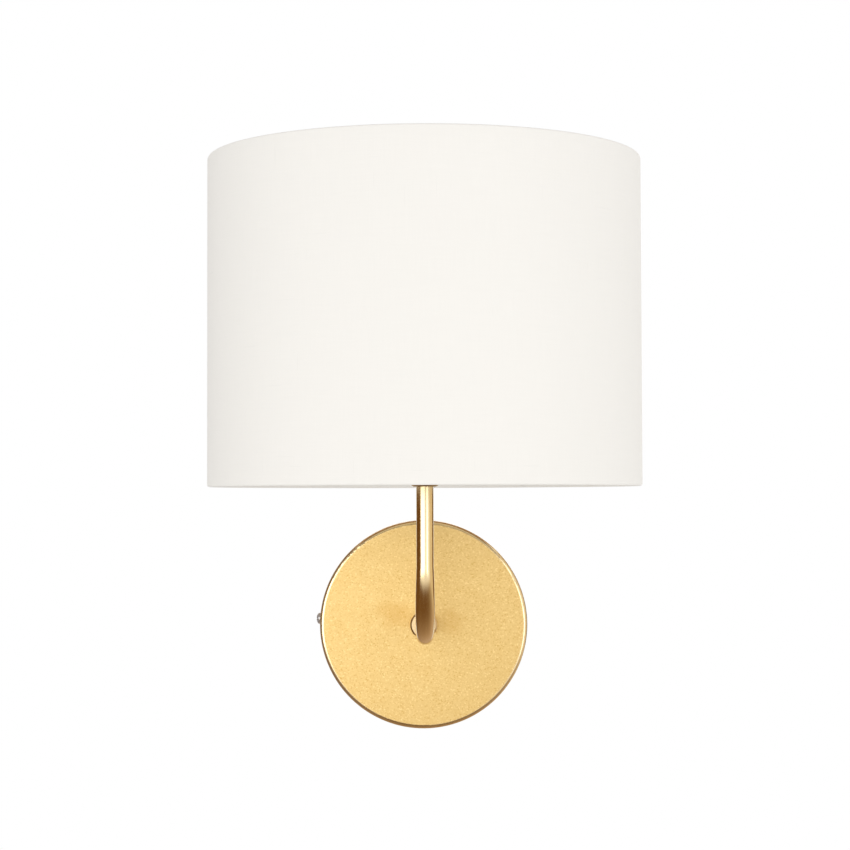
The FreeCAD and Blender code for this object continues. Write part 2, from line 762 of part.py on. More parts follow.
# Insulated wires, each one run from terminal to terminal
def make_wires():
    clamp_level = s.block_drop + s.clamp_screw_spacing
    exit_level = ROOT_END - s.bush_flange - s.wire_exit_run
    shade_base = s.shade_rise
    terminal = shade_base + INSERT_LEVEL + s.insert_disc_height - s.wire_end_gap
    splay_low = shade_base + s.top_collar_height + s.top_thread_length + s.wire_splay_run / 2
    for name, side, pole in (("live_wire", -1, -1), ("neutral_wire", 1, 0)):
        x, pole_x, terminal_x = side * s.wire_offset, pole * s.pole_pitch, side * s.terminal_x
        points = [
            (terminal_x, -AXIS_DISTANCE, terminal),
            (terminal_x, -AXIS_DISTANCE, splay_low + s.wire_splay_run),
            (x, -AXIS_DISTANCE, splay_low),
            (x, -AXIS_DISTANCE, 0),
            (x, -exit_level, 0),
            (pole_x, -SLEEVE_LEVEL, -s.block_drop / 2),
            (pole_x, -SLEEVE_LEVEL, -clamp_level),
        ]
        feature_from(name, bent_wire(s.wire_radius, points, {3: float(s.arm_bend_radius)}))
    earth_x = s.pole_pitch
    loop = s.bracket_width / 2 + s.earth_loop_rise
    lug_mouth = s.lug_radius + s.lug_neck_length + s.lug_barrel_length
    points = [
        (earth_x, -SLEEVE_LEVEL, -clamp_level),
        (earth_x, -SLEEVE_LEVEL, loop / 2),
        ((earth_x + s.earth_screw_x) / 2, -SLEEVE_LEVEL, loop + s.earth_loop_rise),
        (s.earth_screw_x, -LUG_BARREL_LEVEL, loop + s.earth_loop_rise / 2),
        (s.earth_screw_x, -LUG_BARREL_LEVEL, lug_mouth - s.lug_barrel_length / 2),
    ]
    feature_from("earth_wire", bent_wire(s.wire_radius, points))


# Lampholder
def make_lampholder():
    foot, top, radius = s.top_collar_height, HOLDER_TOP, s.holder_radius
    shoulder = foot + radius - s.holder_foot_radius
    lip = SKIRT_BORE - s.fit_gap
    shelf = HOLDER_BORE - s.insert_shelf
    thread_bore = s.thread_radius + s.fit_gap
    turned("lampholder_base", "lamp", [
        (thread_bore, foot),
        (s.holder_foot_radius, foot),
        (radius, shoulder),
        (radius, top),
        (lip, top),
        (lip, top + s.holder_lip),
        (HOLDER_BORE, top + s.holder_lip),
        (HOLDER_BORE, INSERT_LEVEL),
        (shelf, INSERT_LEVEL),
        (shelf, foot + s.holder_floor),
        (thread_bore, foot + s.holder_floor),
    ])
    turned("lampholder_skirt", "lamp", [
        (SKIRT_BORE, top),
        (s.skirt_flange_radius, top),
        (s.skirt_flange_radius, FITTER_LEVEL),
        (s.skirt_radius, FITTER_LEVEL),
        (s.skirt_radius, top + s.skirt_length),
        (SKIRT_BORE, top + s.skirt_length),
    ])
    cup_bore = SHELL_BORE + s.shell_wall + s.fit_gap
    insert = turned("lampholder_insert", "lamp", [
        (0, INSERT_LEVEL),
        (HOLDER_BORE - s.fit_gap, INSERT_LEVEL),
        (HOLDER_BORE - s.fit_gap, INSERT_DISC_TOP),
        (s.insert_cup_radius, INSERT_DISC_TOP),
        (s.insert_cup_radius, INSERT_DISC_TOP + s.insert_cup_height),
        (cup_bore, INSERT_DISC_TOP + s.insert_cup_height),
        (cup_bore, INSERT_FLOOR),
        (0, INSERT_FLOOR),
    ])
    wire_holes = new_sketch(insert, "WireHoles", "XY_Plane", INSERT_LEVEL)
    screw_holes = new_sketch(insert, "ScrewHoles", "XZ_Plane")
    for side in (-1, 1):
        draw_circle(wire_holes, side * s.terminal_x, 0, s.wire_radius + s.fit_gap)
        screw_hole = s.terminal_screw_radius + s.fit_gap
        draw_circle(screw_holes, side * s.terminal_x, TERMINAL_LEVEL, screw_hole)
    pocket(insert, "WireHoles", wire_holes, s.insert_disc_height - s.wire_end_gap, backwards=True)
    pocket(insert, "ScrewHoles", screw_holes, HOLDER_BORE)
    screws = new_body("lampholder_terminal_screws", "lamp")
    shanks = new_sketch(screws, "Shanks", "XZ_Plane", -s.wire_radius - s.fit_gap)
    for side in (-1, 1):
        draw_circle(shanks, side * s.terminal_x, TERMINAL_LEVEL, s.terminal_screw_radius)
    pad(screws, "Shanks", shanks, s.terminal_screw_length, backwards=True)
    turned("lampholder_screw_shell", "lamp", [
        (SHELL_BORE, SHELL_LEVEL),
        (SHELL_BORE + s.shell_wall, SHELL_LEVEL),
        (SHELL_BORE + s.shell_wall, SHELL_LEVEL + s.shell_length),
        (SHELL_BORE, SHELL_LEVEL + s.shell_length),
    ])
    contact = new_body("lampholder_centre_contact", "lamp")
    strip = new_sketch(contact, "Strip", "XZ_Plane")
    metal, tip = s.contact_sheet, BULB_LEVEL - s.fit_gap
    foot_end, heel, toe = -s.contact_reach, -s.contact_reach / 2, s.contact_reach / 2
    draw_path(strip, [
        (foot_end, INSERT_FLOOR),
        (heel, INSERT_FLOOR),
        (0, tip - metal),
        (toe, tip - metal * 2),
        (toe, tip - metal),
        (0, tip),
        (heel, INSERT_FLOOR + metal),
        (foot_end, INSERT_FLOOR + metal),
    ])
    pad(contact, "Strip", strip, s.contact_width, midplane=True)


# Bulb
def glass_side(radius, neck, grow, bottom):
    """The shoulder and side of the bulb's glass, from the neck up, for its outside or its inside."""
    curve = (radius - neck) / (2 - math.sqrt(2))
    rise = curve / math.sqrt(2)
    start = BULB_CAP_TOP + s.bulb_neck_height
    centre_out, centre_in = neck + curve, radius - curve
    middle = (neck + radius) / 2
    low, high = start + rise, start + rise * 2
    shift = grow / math.sqrt(2)
    end = BULB_TOP - radius
    return [
        (neck + grow, bottom),
        (neck + grow, start),
        (middle + shift, low - shift, centre_out, start, -1),
        (radius + grow, high, centre_in, high, 1),
        (radius + grow, end),
        (0, BULB_TOP + grow, 0, end, 1),
    ]


def make_bulb():
    contact, step = s.bulb_contact_radius, s.bulb_contact_height / 2
    turned("bulb_centre_contact", "lamp", [
        (0, BULB_LEVEL),
        (contact - step, BULB_LEVEL),
        (contact, BULB_LEVEL + step),
        (contact, BULB_INSULATOR_LEVEL),
        (0, BULB_INSULATOR_LEVEL),
    ])
    shoulder = s.bulb_cap_radius - s.bulb_cap_shoulder
    turned("bulb_insulator", "lamp", [
        (0, BULB_INSULATOR_LEVEL),
        (contact + s.bulb_cap_wall, BULB_INSULATOR_LEVEL),
        (shoulder, BULB_CAP_LEVEL),
        (0, BULB_CAP_LEVEL),
    ])
    turned("bulb_cap", "lamp", [
        (shoulder - s.bulb_cap_shoulder, BULB_CAP_LEVEL),
        (shoulder, BULB_CAP_LEVEL),
        (s.bulb_cap_radius, BULB_CAP_LEVEL + s.bulb_cap_shoulder),
        (s.bulb_cap_radius, BULB_CAP_TOP),
        (BULB_CAP_BORE, BULB_CAP_TOP),
        (BULB_CAP_BORE, BULB_CAP_LEVEL + s.bulb_cap_shoulder),
        (shoulder - s.bulb_cap_shoulder, BULB_CAP_LEVEL + s.bulb_cap_wall),
    ])
    neck = BULB_CAP_BORE - s.fit_gap
    outside = glass_side(s.bulb_radius, neck, 0, BULB_NECK_LEVEL)
    inside = glass_side(s.bulb_radius, neck, -s.bulb_glass, BULB_NECK_LEVEL)
    (top_x, top_y), (side_x, side_y) = inside[5][:2], inside[4]
    returning = [
        (top_x, top_y),
        (side_x, side_y, 0, side_y, -1),
        inside[3][:2],
        inside[2][:2] + (inside[3][2], inside[3][3], -1),
        inside[1] + (inside[2][2], inside[2][3], 1),
        inside[0],
    ]
    turned("bulb_glass", "lamp", outside + returning)
    stem_foot = neck - s.bulb_glass - s.fit_gap
    turned("bulb_stem", "lamp", [
        (0, BULB_NECK_LEVEL),
        (stem_foot, BULB_NECK_LEVEL),
        (stem_foot, BULB_NECK_LEVEL + s.bulb_glass),
        (s.stem_radius, BULB_NECK_LEVEL + s.stem_flare_height),
        (s.stem_radius, FILAMENT_LEVEL),
        (0, FILAMENT_LEVEL),
    ])
    rod_top = FILAMENT_LEVEL + s.filament_length + s.filament_wire_radius
    wires = turned("bulb_filament_wires", "lamp", [
        (0, FILAMENT_LEVEL),
        (s.filament_wire_radius, FILAMENT_LEVEL),
        (s.filament_wire_radius, rod_top + s.filament_wire_radius),
        (0, rod_top + s.filament_wire_radius),
    ])
    spokes = new_sketch(wires, "Spokes", "YZ_Plane")
    for level in (FILAMENT_LEVEL + s.filament_wire_radius, rod_top):
        draw_circle(spokes, 0, level, s.filament_wire_radius)
    reach = s.filament_circle + s.filament_radius
    repeat_round(wires, pad(wires, "Spokes", spokes, reach), s.filament_count)
    filaments = new_body("bulb_filaments", "lamp")
    section = new_sketch(filaments, "Section", "XY_Plane", FILAMENT_LEVEL + s.filament_wire_radius * 2)
    draw_circle(section, s.filament_circle, 0, s.filament_radius)
    length = s.filament_length - s.filament_wire_radius * 2
    repeat_round(filaments, pad(filaments, "Section", section, length), s.filament_count)


# Shade, its wire frame and the ring that clamps it
def make_shade_ring():
    bore = s.skirt_radius + s.ring_thread_play
    flange, top = RING_LEVEL + s.ring_flange, RING_LEVEL + s.ring_height
    body = turned("shade_ring", "lamp", [
        (bore, RING_LEVEL),
        (s.ring_radius, RING_LEVEL),
        (s.ring_radius, flange),
        (s.ring_grip_radius, flange),
        (s.ring_grip_radius, top),
        (bore, top),
    ])
    groove = new_sketch(body, "Groove", "XY_Plane", top)
    draw_circle(groove, s.ring_grip_radius, 0, s.ring_groove_radius)
    repeat_round(body, pocket(body, "Groove", groove, s.ring_height - s.ring_flange), s.ring_grooves)


def make_shade_frame():
    turned("shade_fitter_ring", "shade", [
        (s.skirt_radius + s.clearance, FITTER_LEVEL),
        (s.fitter_radius, FITTER_LEVEL),
        (s.fitter_radius, RING_LEVEL),
        (s.skirt_radius + s.clearance, RING_LEVEL),
    ])
    wire_ring("shade_bottom_ring", HEM_RADIUS)
    wire_ring("shade_top_ring", s.shade_height - HEM_RADIUS)
    level = FITTER_LEVEL - s.fitter_arm_radius
    start = s.skirt_flange_radius + s.clearance * 2
    knee = V(s.fitter_radius + s.fitter_arm_run, 0, level)
    ring = V(FRAME_RADIUS, 0, HEM_RADIUS)
    end = ring + (knee - ring).normalize() * float(s.frame_wire_radius + s.fit_gap)
    arm = bent_wire(s.fitter_arm_radius, [(start, 0, level), knee, end])
    arms = []
    for number in range(int(s.fitter_arms)):
        arm_copy = arm.copy()
        arm_copy.rotate(V(), V(0, 0, 1), 360 * number / s.fitter_arms)
        arms.append(arm_copy)
    feature_from("shade_fitter_arms", Part.Compound(arms), "shade")


def make_shade_covering():
    height, radius, hem = s.shade_height, s.shade_radius, HEM_RADIUS
    turned("shade_liner", "shade", [
        (LINER_BORE, hem),
        (LINER_BORE + s.liner, hem),
        (LINER_BORE + s.liner, height - hem),
        (LINER_BORE, height - hem),
    ])
    wire, low, high = FRAME_RADIUS, hem, height - hem
    hidden = hem - s.fabric
    flap = LINER_BORE - s.fabric
    fabric = turned("shade_fabric", "shade", [
        (radius, low, wire, low, 1),
        (radius, high),
        (wire, height, wire, high, 1),
        (wire - hem, high, wire, high, 1),
        (wire, high - hem, wire, high, 1),
        (flap, high - hem),
        (flap, height - s.hem_height),
        (LINER_BORE, height - s.hem_height),
        (LINER_BORE, high - hidden),
        (wire, high - hidden),
        (wire - hidden, high, wire, high, -1),
        (wire, high + hidden, wire, high, -1),
        (wire + hidden, high, wire, high, -1),
        (wire + hidden, low),
        (wire, low - hidden, wire, low, -1),
        (wire - hidden, low, wire, low, -1),
        (wire, low + hidden, wire, low, -1),
        (LINER_BORE, low + hidden),
        (LINER_BORE, s.hem_height),
        (flap, s.hem_height),
        (flap, low + hem),
        (wire, low + hem),
        (wire - hem, low, wire, low, 1),
        (wire, 0, wire, low, 1),
    ])
    revolve(fabric, "Lap", [
        (-radius - s.fabric, low + s.fabric),
        (-radius + s.fabric / 2, low + s.fabric),
        (-radius + s.fabric / 2, high - s.fabric),
        (-radius - s.fabric, high - s.fabric),
    ], s.lap_width / radius * (180 / math.pi))
    notch = new_sketch(fabric, "Notch", "XY_Plane", hem / 2)
    half_notch = s.notch_width / 2
    draw_box(notch, wire - hem * 2, -half_notch, LINER_BORE, half_notch)
    notches = pocket(fabric, "Notch", notch, s.hem_height, backwards=True)
    repeat_round(fabric, notches, s.fitter_arms)


def check(thing):
    if "Invalid" in thing.State or "Error" in thing.State:
        raise RuntimeError("%s didn't build: %s" % (thing.Name, thing.State))


def export_parts():
    os.makedirs("parts", exist_ok=True)
    doc.recompute()
    for thing in doc.Objects:
        check(thing)
    pieces = [thing for thing in doc.Objects
              if thing.TypeId in ("PartDesign::Body", "Part::Feature")]
    for piece in pieces:
        if piece.Shape.isNull() or not piece.Shape.isValid():
            raise RuntimeError("%s has no valid shape" % piece.Label)
    for piece in pieces:
        piece.Shape.exportStep("parts/%s.step" % piece.Label)
        print("%-30s %2d solids %12.1f mm3" % (piece.Label, len(piece.Shape.Solids), piece.Shape.Volume))


make_cover()
make_bracket()
make_side_fixings()
make_arm_tube()
make_collars()
make_root_fastening()
make_terminal_block()
make_earth_connection()
make_wires()
make_lampholder()
make_bulb()
make_shade_ring()
make_shade_frame()
make_shade_covering()
export_parts()
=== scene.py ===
"""Wall light with a fabric drum shade: finishes, cloth, threads and stage round its packed frame."""

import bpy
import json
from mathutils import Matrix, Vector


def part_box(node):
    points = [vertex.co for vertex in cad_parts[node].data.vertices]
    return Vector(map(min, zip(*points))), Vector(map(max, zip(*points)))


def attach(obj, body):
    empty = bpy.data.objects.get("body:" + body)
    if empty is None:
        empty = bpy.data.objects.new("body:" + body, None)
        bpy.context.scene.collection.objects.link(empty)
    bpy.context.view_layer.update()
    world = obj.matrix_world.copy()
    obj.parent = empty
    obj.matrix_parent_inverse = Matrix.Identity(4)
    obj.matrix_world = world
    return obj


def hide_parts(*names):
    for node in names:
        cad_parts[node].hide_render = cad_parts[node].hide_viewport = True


bl_info = {
    "name": "Fabric shade wall light",
    "version": (1, 0, 0),
    "blender": (4, 5, 0),
    "location": "3D View > Sidebar > Wall light",
    "description": "Dresses the wall light's frame: cloth shade, gold arm and plate, holder, bulb and stage",
    "category": "Object",
}

import json
import math

import bmesh
import bpy
from mathutils import Matrix, Vector

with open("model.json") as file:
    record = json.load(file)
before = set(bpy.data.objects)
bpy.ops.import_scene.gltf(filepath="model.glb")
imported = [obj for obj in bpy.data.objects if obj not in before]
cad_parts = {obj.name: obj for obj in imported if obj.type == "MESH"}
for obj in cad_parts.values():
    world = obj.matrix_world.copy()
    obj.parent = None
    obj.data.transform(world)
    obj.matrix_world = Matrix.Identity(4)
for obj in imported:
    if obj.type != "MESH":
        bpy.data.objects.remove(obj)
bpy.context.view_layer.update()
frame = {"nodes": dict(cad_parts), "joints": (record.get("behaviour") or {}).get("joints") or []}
NODES = frame["nodes"]
JOINTS = {joint["name"]: joint for joint in frame["joints"]}

MM = 0.001
TURN = math.tau
# The shade's axis at its lower edge
LAMP = Vector(JOINTS["shade_turn"]["pos_m"])
SHADE_LOW, SHADE_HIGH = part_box("shade_fabric")
SHADE_RADIUS = SHADE_HIGH.x
SHADE_HEIGHT = SHADE_HIGH.z - SHADE_LOW.z
TUBE_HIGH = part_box("arm_tube")[1]
PLATE_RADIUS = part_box("backplate_cover")[1].x
PLATE_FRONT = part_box("backplate_cover")[0].y
# Arms of the shade's wire frame
ARMS = 3
# Radius at which the UV maps of the skirt's and the cap's threads are laid flat
THREAD_FLAT = SHADE_RADIUS / 10


# Sizes and colours that a user would change
def length(name, text, default):
    return bpy.props.FloatProperty(
        name=name, description=text, default=default, min=0.0, unit="LENGTH", subtype="DISTANCE", precision=5)


def rotation(name, text, degrees):
    return bpy.props.FloatProperty(
        name=name, description=text, default=math.radians(degrees), subtype="ANGLE")


def brightness(name, text, default):
    return bpy.props.FloatProperty(name=name, description=text, default=default)


def share(name, text, default):
    return bpy.props.FloatProperty(name=name, description=text, default=default, min=0.0, max=1.0)


def count(name, text, default):
    return bpy.props.IntProperty(name=name, description=text, default=default, min=1)


def colour(name, text, default):
    return bpy.props.FloatVectorProperty(
        name=name, description=text, default=default, size=3, min=0.0, max=1.0, subtype="COLOR")


class ShadeSizes(bpy.types.PropertyGroup):
    """Cloth cover of the shade and its wire frame"""

    cloth: length("Cloth", "Thickness of the cloth", 0.45 * MM)
    lining: length("Lining", "Thickness of the lining sheet", 0.4 * MM)
    wire: length("Frame wire", "Radius of the frame's round wire", 1.2 * MM)
    hem: length("Hem", "Height of the hem inside the shade", 9 * MM)
    corner: length("Corner", "Radius of the cloth's outer corners over the lining's edges", 0.95 * MM)
    lap: length("Lap", "Width over which the cloth's ends overlap at the back", 12 * MM)
    lap_fade: length("Lap fade", "Width over which the lap's step dies away", 10 * MM)
    notch: length("Notch", "Width of the hem's notch at each arm", 5 * MM)
    notch_level: length("Notch level", "Height above the lower edge that a notch is cut down to", 1.03 * MM)
    thread: length("Thread", "Distance from one cloth thread to the next", 0.42 * MM)
    ripple: length("Ripple", "Unevenness of the cloth on its lining", 0.06 * MM)
    columns: count("Columns", "Mesh columns round the shade", 720)
    weld: length("Weld", "Radius of the weld beads on the frame", 1.9 * MM)


class ArmSizes(bpy.types.PropertyGroup):
    """Bent tube between the wall plate and the lampholder"""

    radius: length("Radius", "Outside radius of the tube", TUBE_HIGH.x)
    wall: length("Wall", "Thickness of the tube's wall", 1 * MM)
    bend: length("Bend radius", "Radius of the tube's centre line in the bend", 34 * MM)
    widening: share("Widening", "Share by which the bend is wider than the straight tube", 0.14)
    flattening: share("Flattening", "Share by which the bend is thinner than the straight tube", 0.08)


class HolderSizes(bpy.types.PropertyGroup):
    """Threads of the lampholder, the bulb's cap and the side screw"""

    skirt_pitch: length("Skirt pitch", "Pitch of the thread for the shade ring", 2 * MM)
    skirt_depth: length("Skirt depth", "Depth of the thread for the shade ring", 0.5 * MM)
    cap_pitch: length("Cap pitch", "Pitch of the bulb cap's rolled thread", 2.82 * MM)
    cap_depth: length("Cap depth", "Depth of the bulb cap's rolled thread", 0.55 * MM)
    screw_pitch: length("Screw pitch", "Pitch of the side screw's thread", 0.5 * MM)
    screw_depth: length("Screw depth", "Depth of the side screw's thread", 0.3 * MM)
    recess: length("Recess", "Width across the side screw's cross recess", 3.2 * MM)
    recess_wing: length("Recess wing", "Width of each wing of the cross recess", 0.75 * MM)
    recess_depth: length("Recess depth", "Depth of the cross recess", 1.3 * MM)


class LightColours(bpy.types.PropertyGroup):
    """Colours of the finishes"""

    gold: colour("Gold", "Matt gold paint of the wall plate", (0.725, 0.505, 0.188))
    gold_tube: colour("Gold tube", "Satin gold of the arm", (0.92, 0.7, 0.4))
    cloth: colour("Cloth", "Off-white cloth", (0.9, 0.875, 0.83))
    lining: colour("Lining", "Plastic lining inside the shade", (0.86, 0.85, 0.82))
    white: colour("White", "White plastic and powder coat", (0.83, 0.82, 0.79))
    zinc: colour("Zinc", "Zinc plate", (0.66, 0.67, 0.69))
    brass: colour("Brass", "Bare brass", (0.78, 0.59, 0.29))
    nickel: colour("Nickel", "Nickel plate", (0.72, 0.7, 0.66))
    tin: colour("Tin", "Tinned copper", (0.7, 0.68, 0.64))
    brown: colour("Brown", "Live wire's insulation", (0.13, 0.055, 0.025))
    blue: colour("Blue", "Neutral wire's insulation", (0.02, 0.09, 0.36))
    green: colour("Green", "Earth wire's insulation", (0.04, 0.26, 0.05))
    yellow: colour("Yellow", "Earth wire's stripe", (0.8, 0.62, 0.03))
    glass: colour("Glass", "Clear glass of the bulb", (0.97, 0.98, 0.97))
    black: colour("Black", "Black glass of the bulb's insulator", (0.02, 0.02, 0.022))
    phosphor: colour("Phosphor", "Coating of the filaments", (0.85, 0.55, 0.08))
    floor: colour("Floor", "Studio floor", (0.88, 0.88, 0.87))


class StageSizes(bpy.types.PropertyGroup):
    """Camera, lamps and floor"""

    camera: bpy.props.FloatVectorProperty(
        name="Camera", description="Place of the camera", size=3, default=(-0.006, -1.135, 0.0642),
        unit="LENGTH", subtype="TRANSLATION")
    pitch: rotation("Pitch", "Upward tilt of the camera", 2.06)
    yaw: rotation("Yaw", "Turn of the camera to the right", 0.36)
    roll: rotation("Roll", "Turn of the camera about its view", 0.17)
    lens: bpy.props.FloatProperty(
        name="Lens", description="Focal length on a 36 mm wide sensor, in millimetres", default=89.87)
    floor_drop: length("Floor drop", "Height of the plate's centre above the floor", 0.3)
    floor_radius: length("Floor radius", "Radius of the round floor", 1.0)
    lamp_reach: length("Lamp reach", "Distance from the arm to the lamps' ends", 1.5)
    lamp_top: length("Lamp top", "Height of the lamps' upper edges above the plate's centre", 0.5)
    lamp_level: brightness("Lamp level", "Brightness of the lamps, where white paper is 1", 1.65)
    side_level: brightness("Side lamp level", "Brightness of the lamp at the right", 1.75)
    back_level: brightness("Back lamp level", "Brightness of the lamp behind the wall side", 1.0)
    fill_level: share("Fill level", "Brightness of the surroundings as they light the object", 0.66)


GROUPS = {
    "wall_light_shade": ShadeSizes,
    "wall_light_arm": ArmSizes,
    "wall_light_holder": HolderSizes,
    "wall_light_colours": LightColours,
    "wall_light_stage": StageSizes,
}


# Node trees written as sums
def operation(name, swapped=False):
    """A method that adds the node of one operation. A reflected form swaps its two terms."""
    def method(self, *others):
        terms = (*others, self) if swapped else (self, *others)
        return self.maths(name, *terms)
    return method


class Value:
    """A node's output in a sum. Numbers go through Math, vectors Vector Math and colours Mix nodes."""

    def __init__(self, tree, socket):
        self.tree = tree
        self.socket = socket

    def pick(self, name):
        """Another output of the same node."""
        return Value(self.tree, self.socket.node.outputs[name])

    def maths(self, name, *terms):
        kinds = {term.socket.type for term in terms if isinstance(term, Value)}
        if "RGBA" in kinds:
            blend = {"data_type": "RGBA", "blend_type": name}
            return self.tree.add("ShaderNodeMix", blend, {0: 1.0, 6: terms[0], 7: terms[1]}, 2)
        kind = "ShaderNodeVectorMath" if "VECTOR" in kinds else "ShaderNodeMath"
        return self.tree.add(kind, {"operation": name}, dict(enumerate(terms)))

    __add__ = __radd__ = operation("ADD")
    __sub__, __rsub__ = operation("SUBTRACT"), operation("SUBTRACT", swapped=True)
    __mul__ = __rmul__ = operation("MULTIPLY")
    __truediv__, __rtruediv__ = operation("DIVIDE"), operation("DIVIDE", swapped=True)
    __pow__, __mod__ = operation("POWER"), operation("FLOORED_MODULO")
    __gt__, __lt__ = operation("GREATER_THAN"), operation("LESS_THAN")
    __abs__, root, rounded = operation("ABSOLUTE"), operation("SQRT"), operation("ROUND")
    sine, cosine = operation("SINE"), operation("COSINE")
    least, most = operation("MINIMUM"), operation("MAXIMUM")

    def eased(self, start, end, low=0.0, high=1.0):
        """A smooth step from low to high, between start and end."""
        return self.tree.add(
            "ShaderNodeMapRange", {"interpolation_type": "SMOOTHSTEP"},
            {0: self, 1: start, 2: end, 3: low, 4: high})


class Tree:
    """A node tree under construction. Nodes other than sums all come from add."""

    def __init__(self, tree):
        self.tree = tree

    def add(self, kind, settings=None, inputs=None, output=0):
        """A node of a kind, with its settings first and then its sockets' values or links."""
        node = self.tree.nodes.new(kind)
        for name, setting in (settings or {}).items():
            setattr(node, name, setting)
        for name, value in (inputs or {}).items():
            for one in value if isinstance(value, list) else [value]:
                self.feed(node.inputs[name], one)
        return Value(self, node.outputs[output]) if node.outputs else None

    def feed(self, socket, value):
        if isinstance(value, Value):
            self.tree.links.new(value.socket, socket)
        elif socket.type == "VECTOR" and isinstance(value, (int, float)):
            socket.default_value = (value,) * 3
        elif socket.type == "RGBA":
            socket.default_value = (*value[:3], 1.0)
        else:
            socket.default_value = value

    def vector(self, x, y, z):
        return self.add("ShaderNodeCombineXYZ", None, {0: x, 1: y, 2: z})

    def parts(self, vector):
        first = self.add("ShaderNodeSeparateXYZ", None, {0: vector})
        return first, first.pick("Y"), first.pick("Z")


# Geometry that follows a rule
SOCKETS = {float: "NodeSocketFloat", int: "NodeSocketInt"}


def placed(name, data, place=Matrix()):
    """A new object in the scene."""
    made = bpy.data.objects.new(name, data)
    made.matrix_world = place
    bpy.context.scene.collection.objects.link(made)
    return made


class Shape(Tree):
    """A geometry tree with named inputs. It works on an outline, where it is given corners."""

    def __init__(self, name, sizes, corners=None):
        super().__init__(bpy.data.node_groups.new(name, "GeometryNodeTree"))
        face = self.tree.interface
        face.new_socket("Geometry", in_out="INPUT", socket_type="NodeSocketGeometry")
        self.sizes = sizes
        self.outline = outline_mesh(name, corners) if corners else bpy.data.meshes.new(name)
        for size, value in sizes.items():
            face.new_socket(size, in_out="INPUT", socket_type=SOCKETS[type(value)])
        face.new_socket("Geometry", in_out="OUTPUT", socket_type="NodeSocketGeometry")
        self.inlet = self.add("NodeGroupInput")

    def size(self, name):
        return self.inlet.pick(name)

    def finish(self, geometry, material):
        """End the tree with its instances made real and its material set."""
        whole = self.add("GeometryNodeRealizeInstances", None, {0: geometry})
        whole = self.add("GeometryNodeSetMaterial", None, {"Geometry": whole, "Material": material})
        self.add("NodeGroupOutput", None, {0: whole})

    def make(self, name, place=Matrix.Translation(LAMP)):
        """Run the tree and return its result as a plain object at the origin, with its place in its mesh."""
        made = placed(name, self.outline)
        modifier = made.modifiers.new("Rule", "NODES")
        modifier.node_group = self.tree
        for item in self.tree.interface.items_tree:
            if item.in_out == "INPUT" and item.name in self.sizes:
                modifier[item.identifier] = self.sizes[item.name]
        depsgraph = bpy.context.evaluated_depsgraph_get()
        mesh = bpy.data.meshes.new_from_object(made.evaluated_get(depsgraph), depsgraph=depsgraph)
        made.modifiers.clear()
        made.data = mesh
        mesh.name = name
        mesh.transform(place)
        face_outwards(mesh)
        if not mesh.polygons:
            raise RuntimeError(name + " came out empty")
        return made


def face_outwards(mesh):
    """Turn a closed mesh the right way out."""
    shape = bmesh.new()
    shape.from_mesh(mesh)
    bmesh.ops.recalc_face_normals(shape, faces=shape.faces)
    if shape.calc_volume(signed=True) < 0:
        bmesh.ops.reverse_faces(shape, faces=shape.faces)
    shape.to_mesh(mesh)
    shape.free()


def outline_mesh(name, corners):
    """A closed outline of corners: radius, height and, where there is a thread, its share of full depth."""
    mesh = bpy.data.meshes.new(name)
    closed = [*corners, corners[0]]
    points = [(corner[0], 0.0, corner[1]) for corner in closed]
    mesh.from_pydata(points, [(i, i + 1) for i in range(len(corners))], [])
    along = [0.0]
    for here, there in zip(points, points[1:]):
        along.append(along[-1] + math.dist(here, there))
    thread = [corner[2] if len(corner) > 2 else 0.0 for corner in closed]
    for attribute, numbers in (("along", along), ("thread", thread)):
        mesh.attributes.new(attribute, "FLOAT", "POINT").data.foreach_set("value", numbers)
    return mesh


def arc(x, z, radius, start, end, steps):
    """Points of an arc about (x, z), both ends included, with its angles in degrees."""
    angles = [math.radians(start + (end - start) * step / steps) for step in range(steps + 1)]
    return [(x + radius * math.cos(angle), z + radius * math.sin(angle)) for angle in angles]


def line(start, end, steps):
    """Points from the start towards the end, which is left out."""
    return [tuple(a + (b - a) * step / steps for a, b in zip(start, end)) for step in range(steps)]


def threaded(radius, start, run, steps, fade):
    """Points along a threaded stretch. The thread grows over a number of steps at each end."""
    return [
        (radius, start + run * step / steps, min(1.0, step / fade, (steps - step) / fade))
        for step in range(steps + 1)
    ]


def skin(shape, columns, rows):
    """A sheet of faces, with the shares from 0 to 1 that run across it and along it."""
    grid = shape.add("GeometryNodeMeshGrid", None, {0: 1.0, 1: 1.0, 2: columns, 3: rows})
    x, y, _ = shape.parts(shape.add("GeometryNodeInputPosition"))
    return grid, x + 0.5, y + 0.5


def bent(shape, grid, place, uv):
    """Keep the sheet's flat size as its UV map, move it to its place and close its seams."""
    mapped = shape.add(
        "GeometryNodeStoreNamedAttribute", {"data_type": "FLOAT2", "domain": "CORNER"},
        {"Geometry": grid, "Name": "UVMap", "Value": uv})
    moved = shape.add("GeometryNodeSetPosition", None, {"Geometry": mapped, "Position": place})
    merged = shape.add("GeometryNodeMergeByDistance", None, {"Geometry": moved, "Distance": 1e-6})
    return shape.add("GeometryNodeSetShadeSmooth", None, {"Geometry": merged, "Shade Smooth": True})


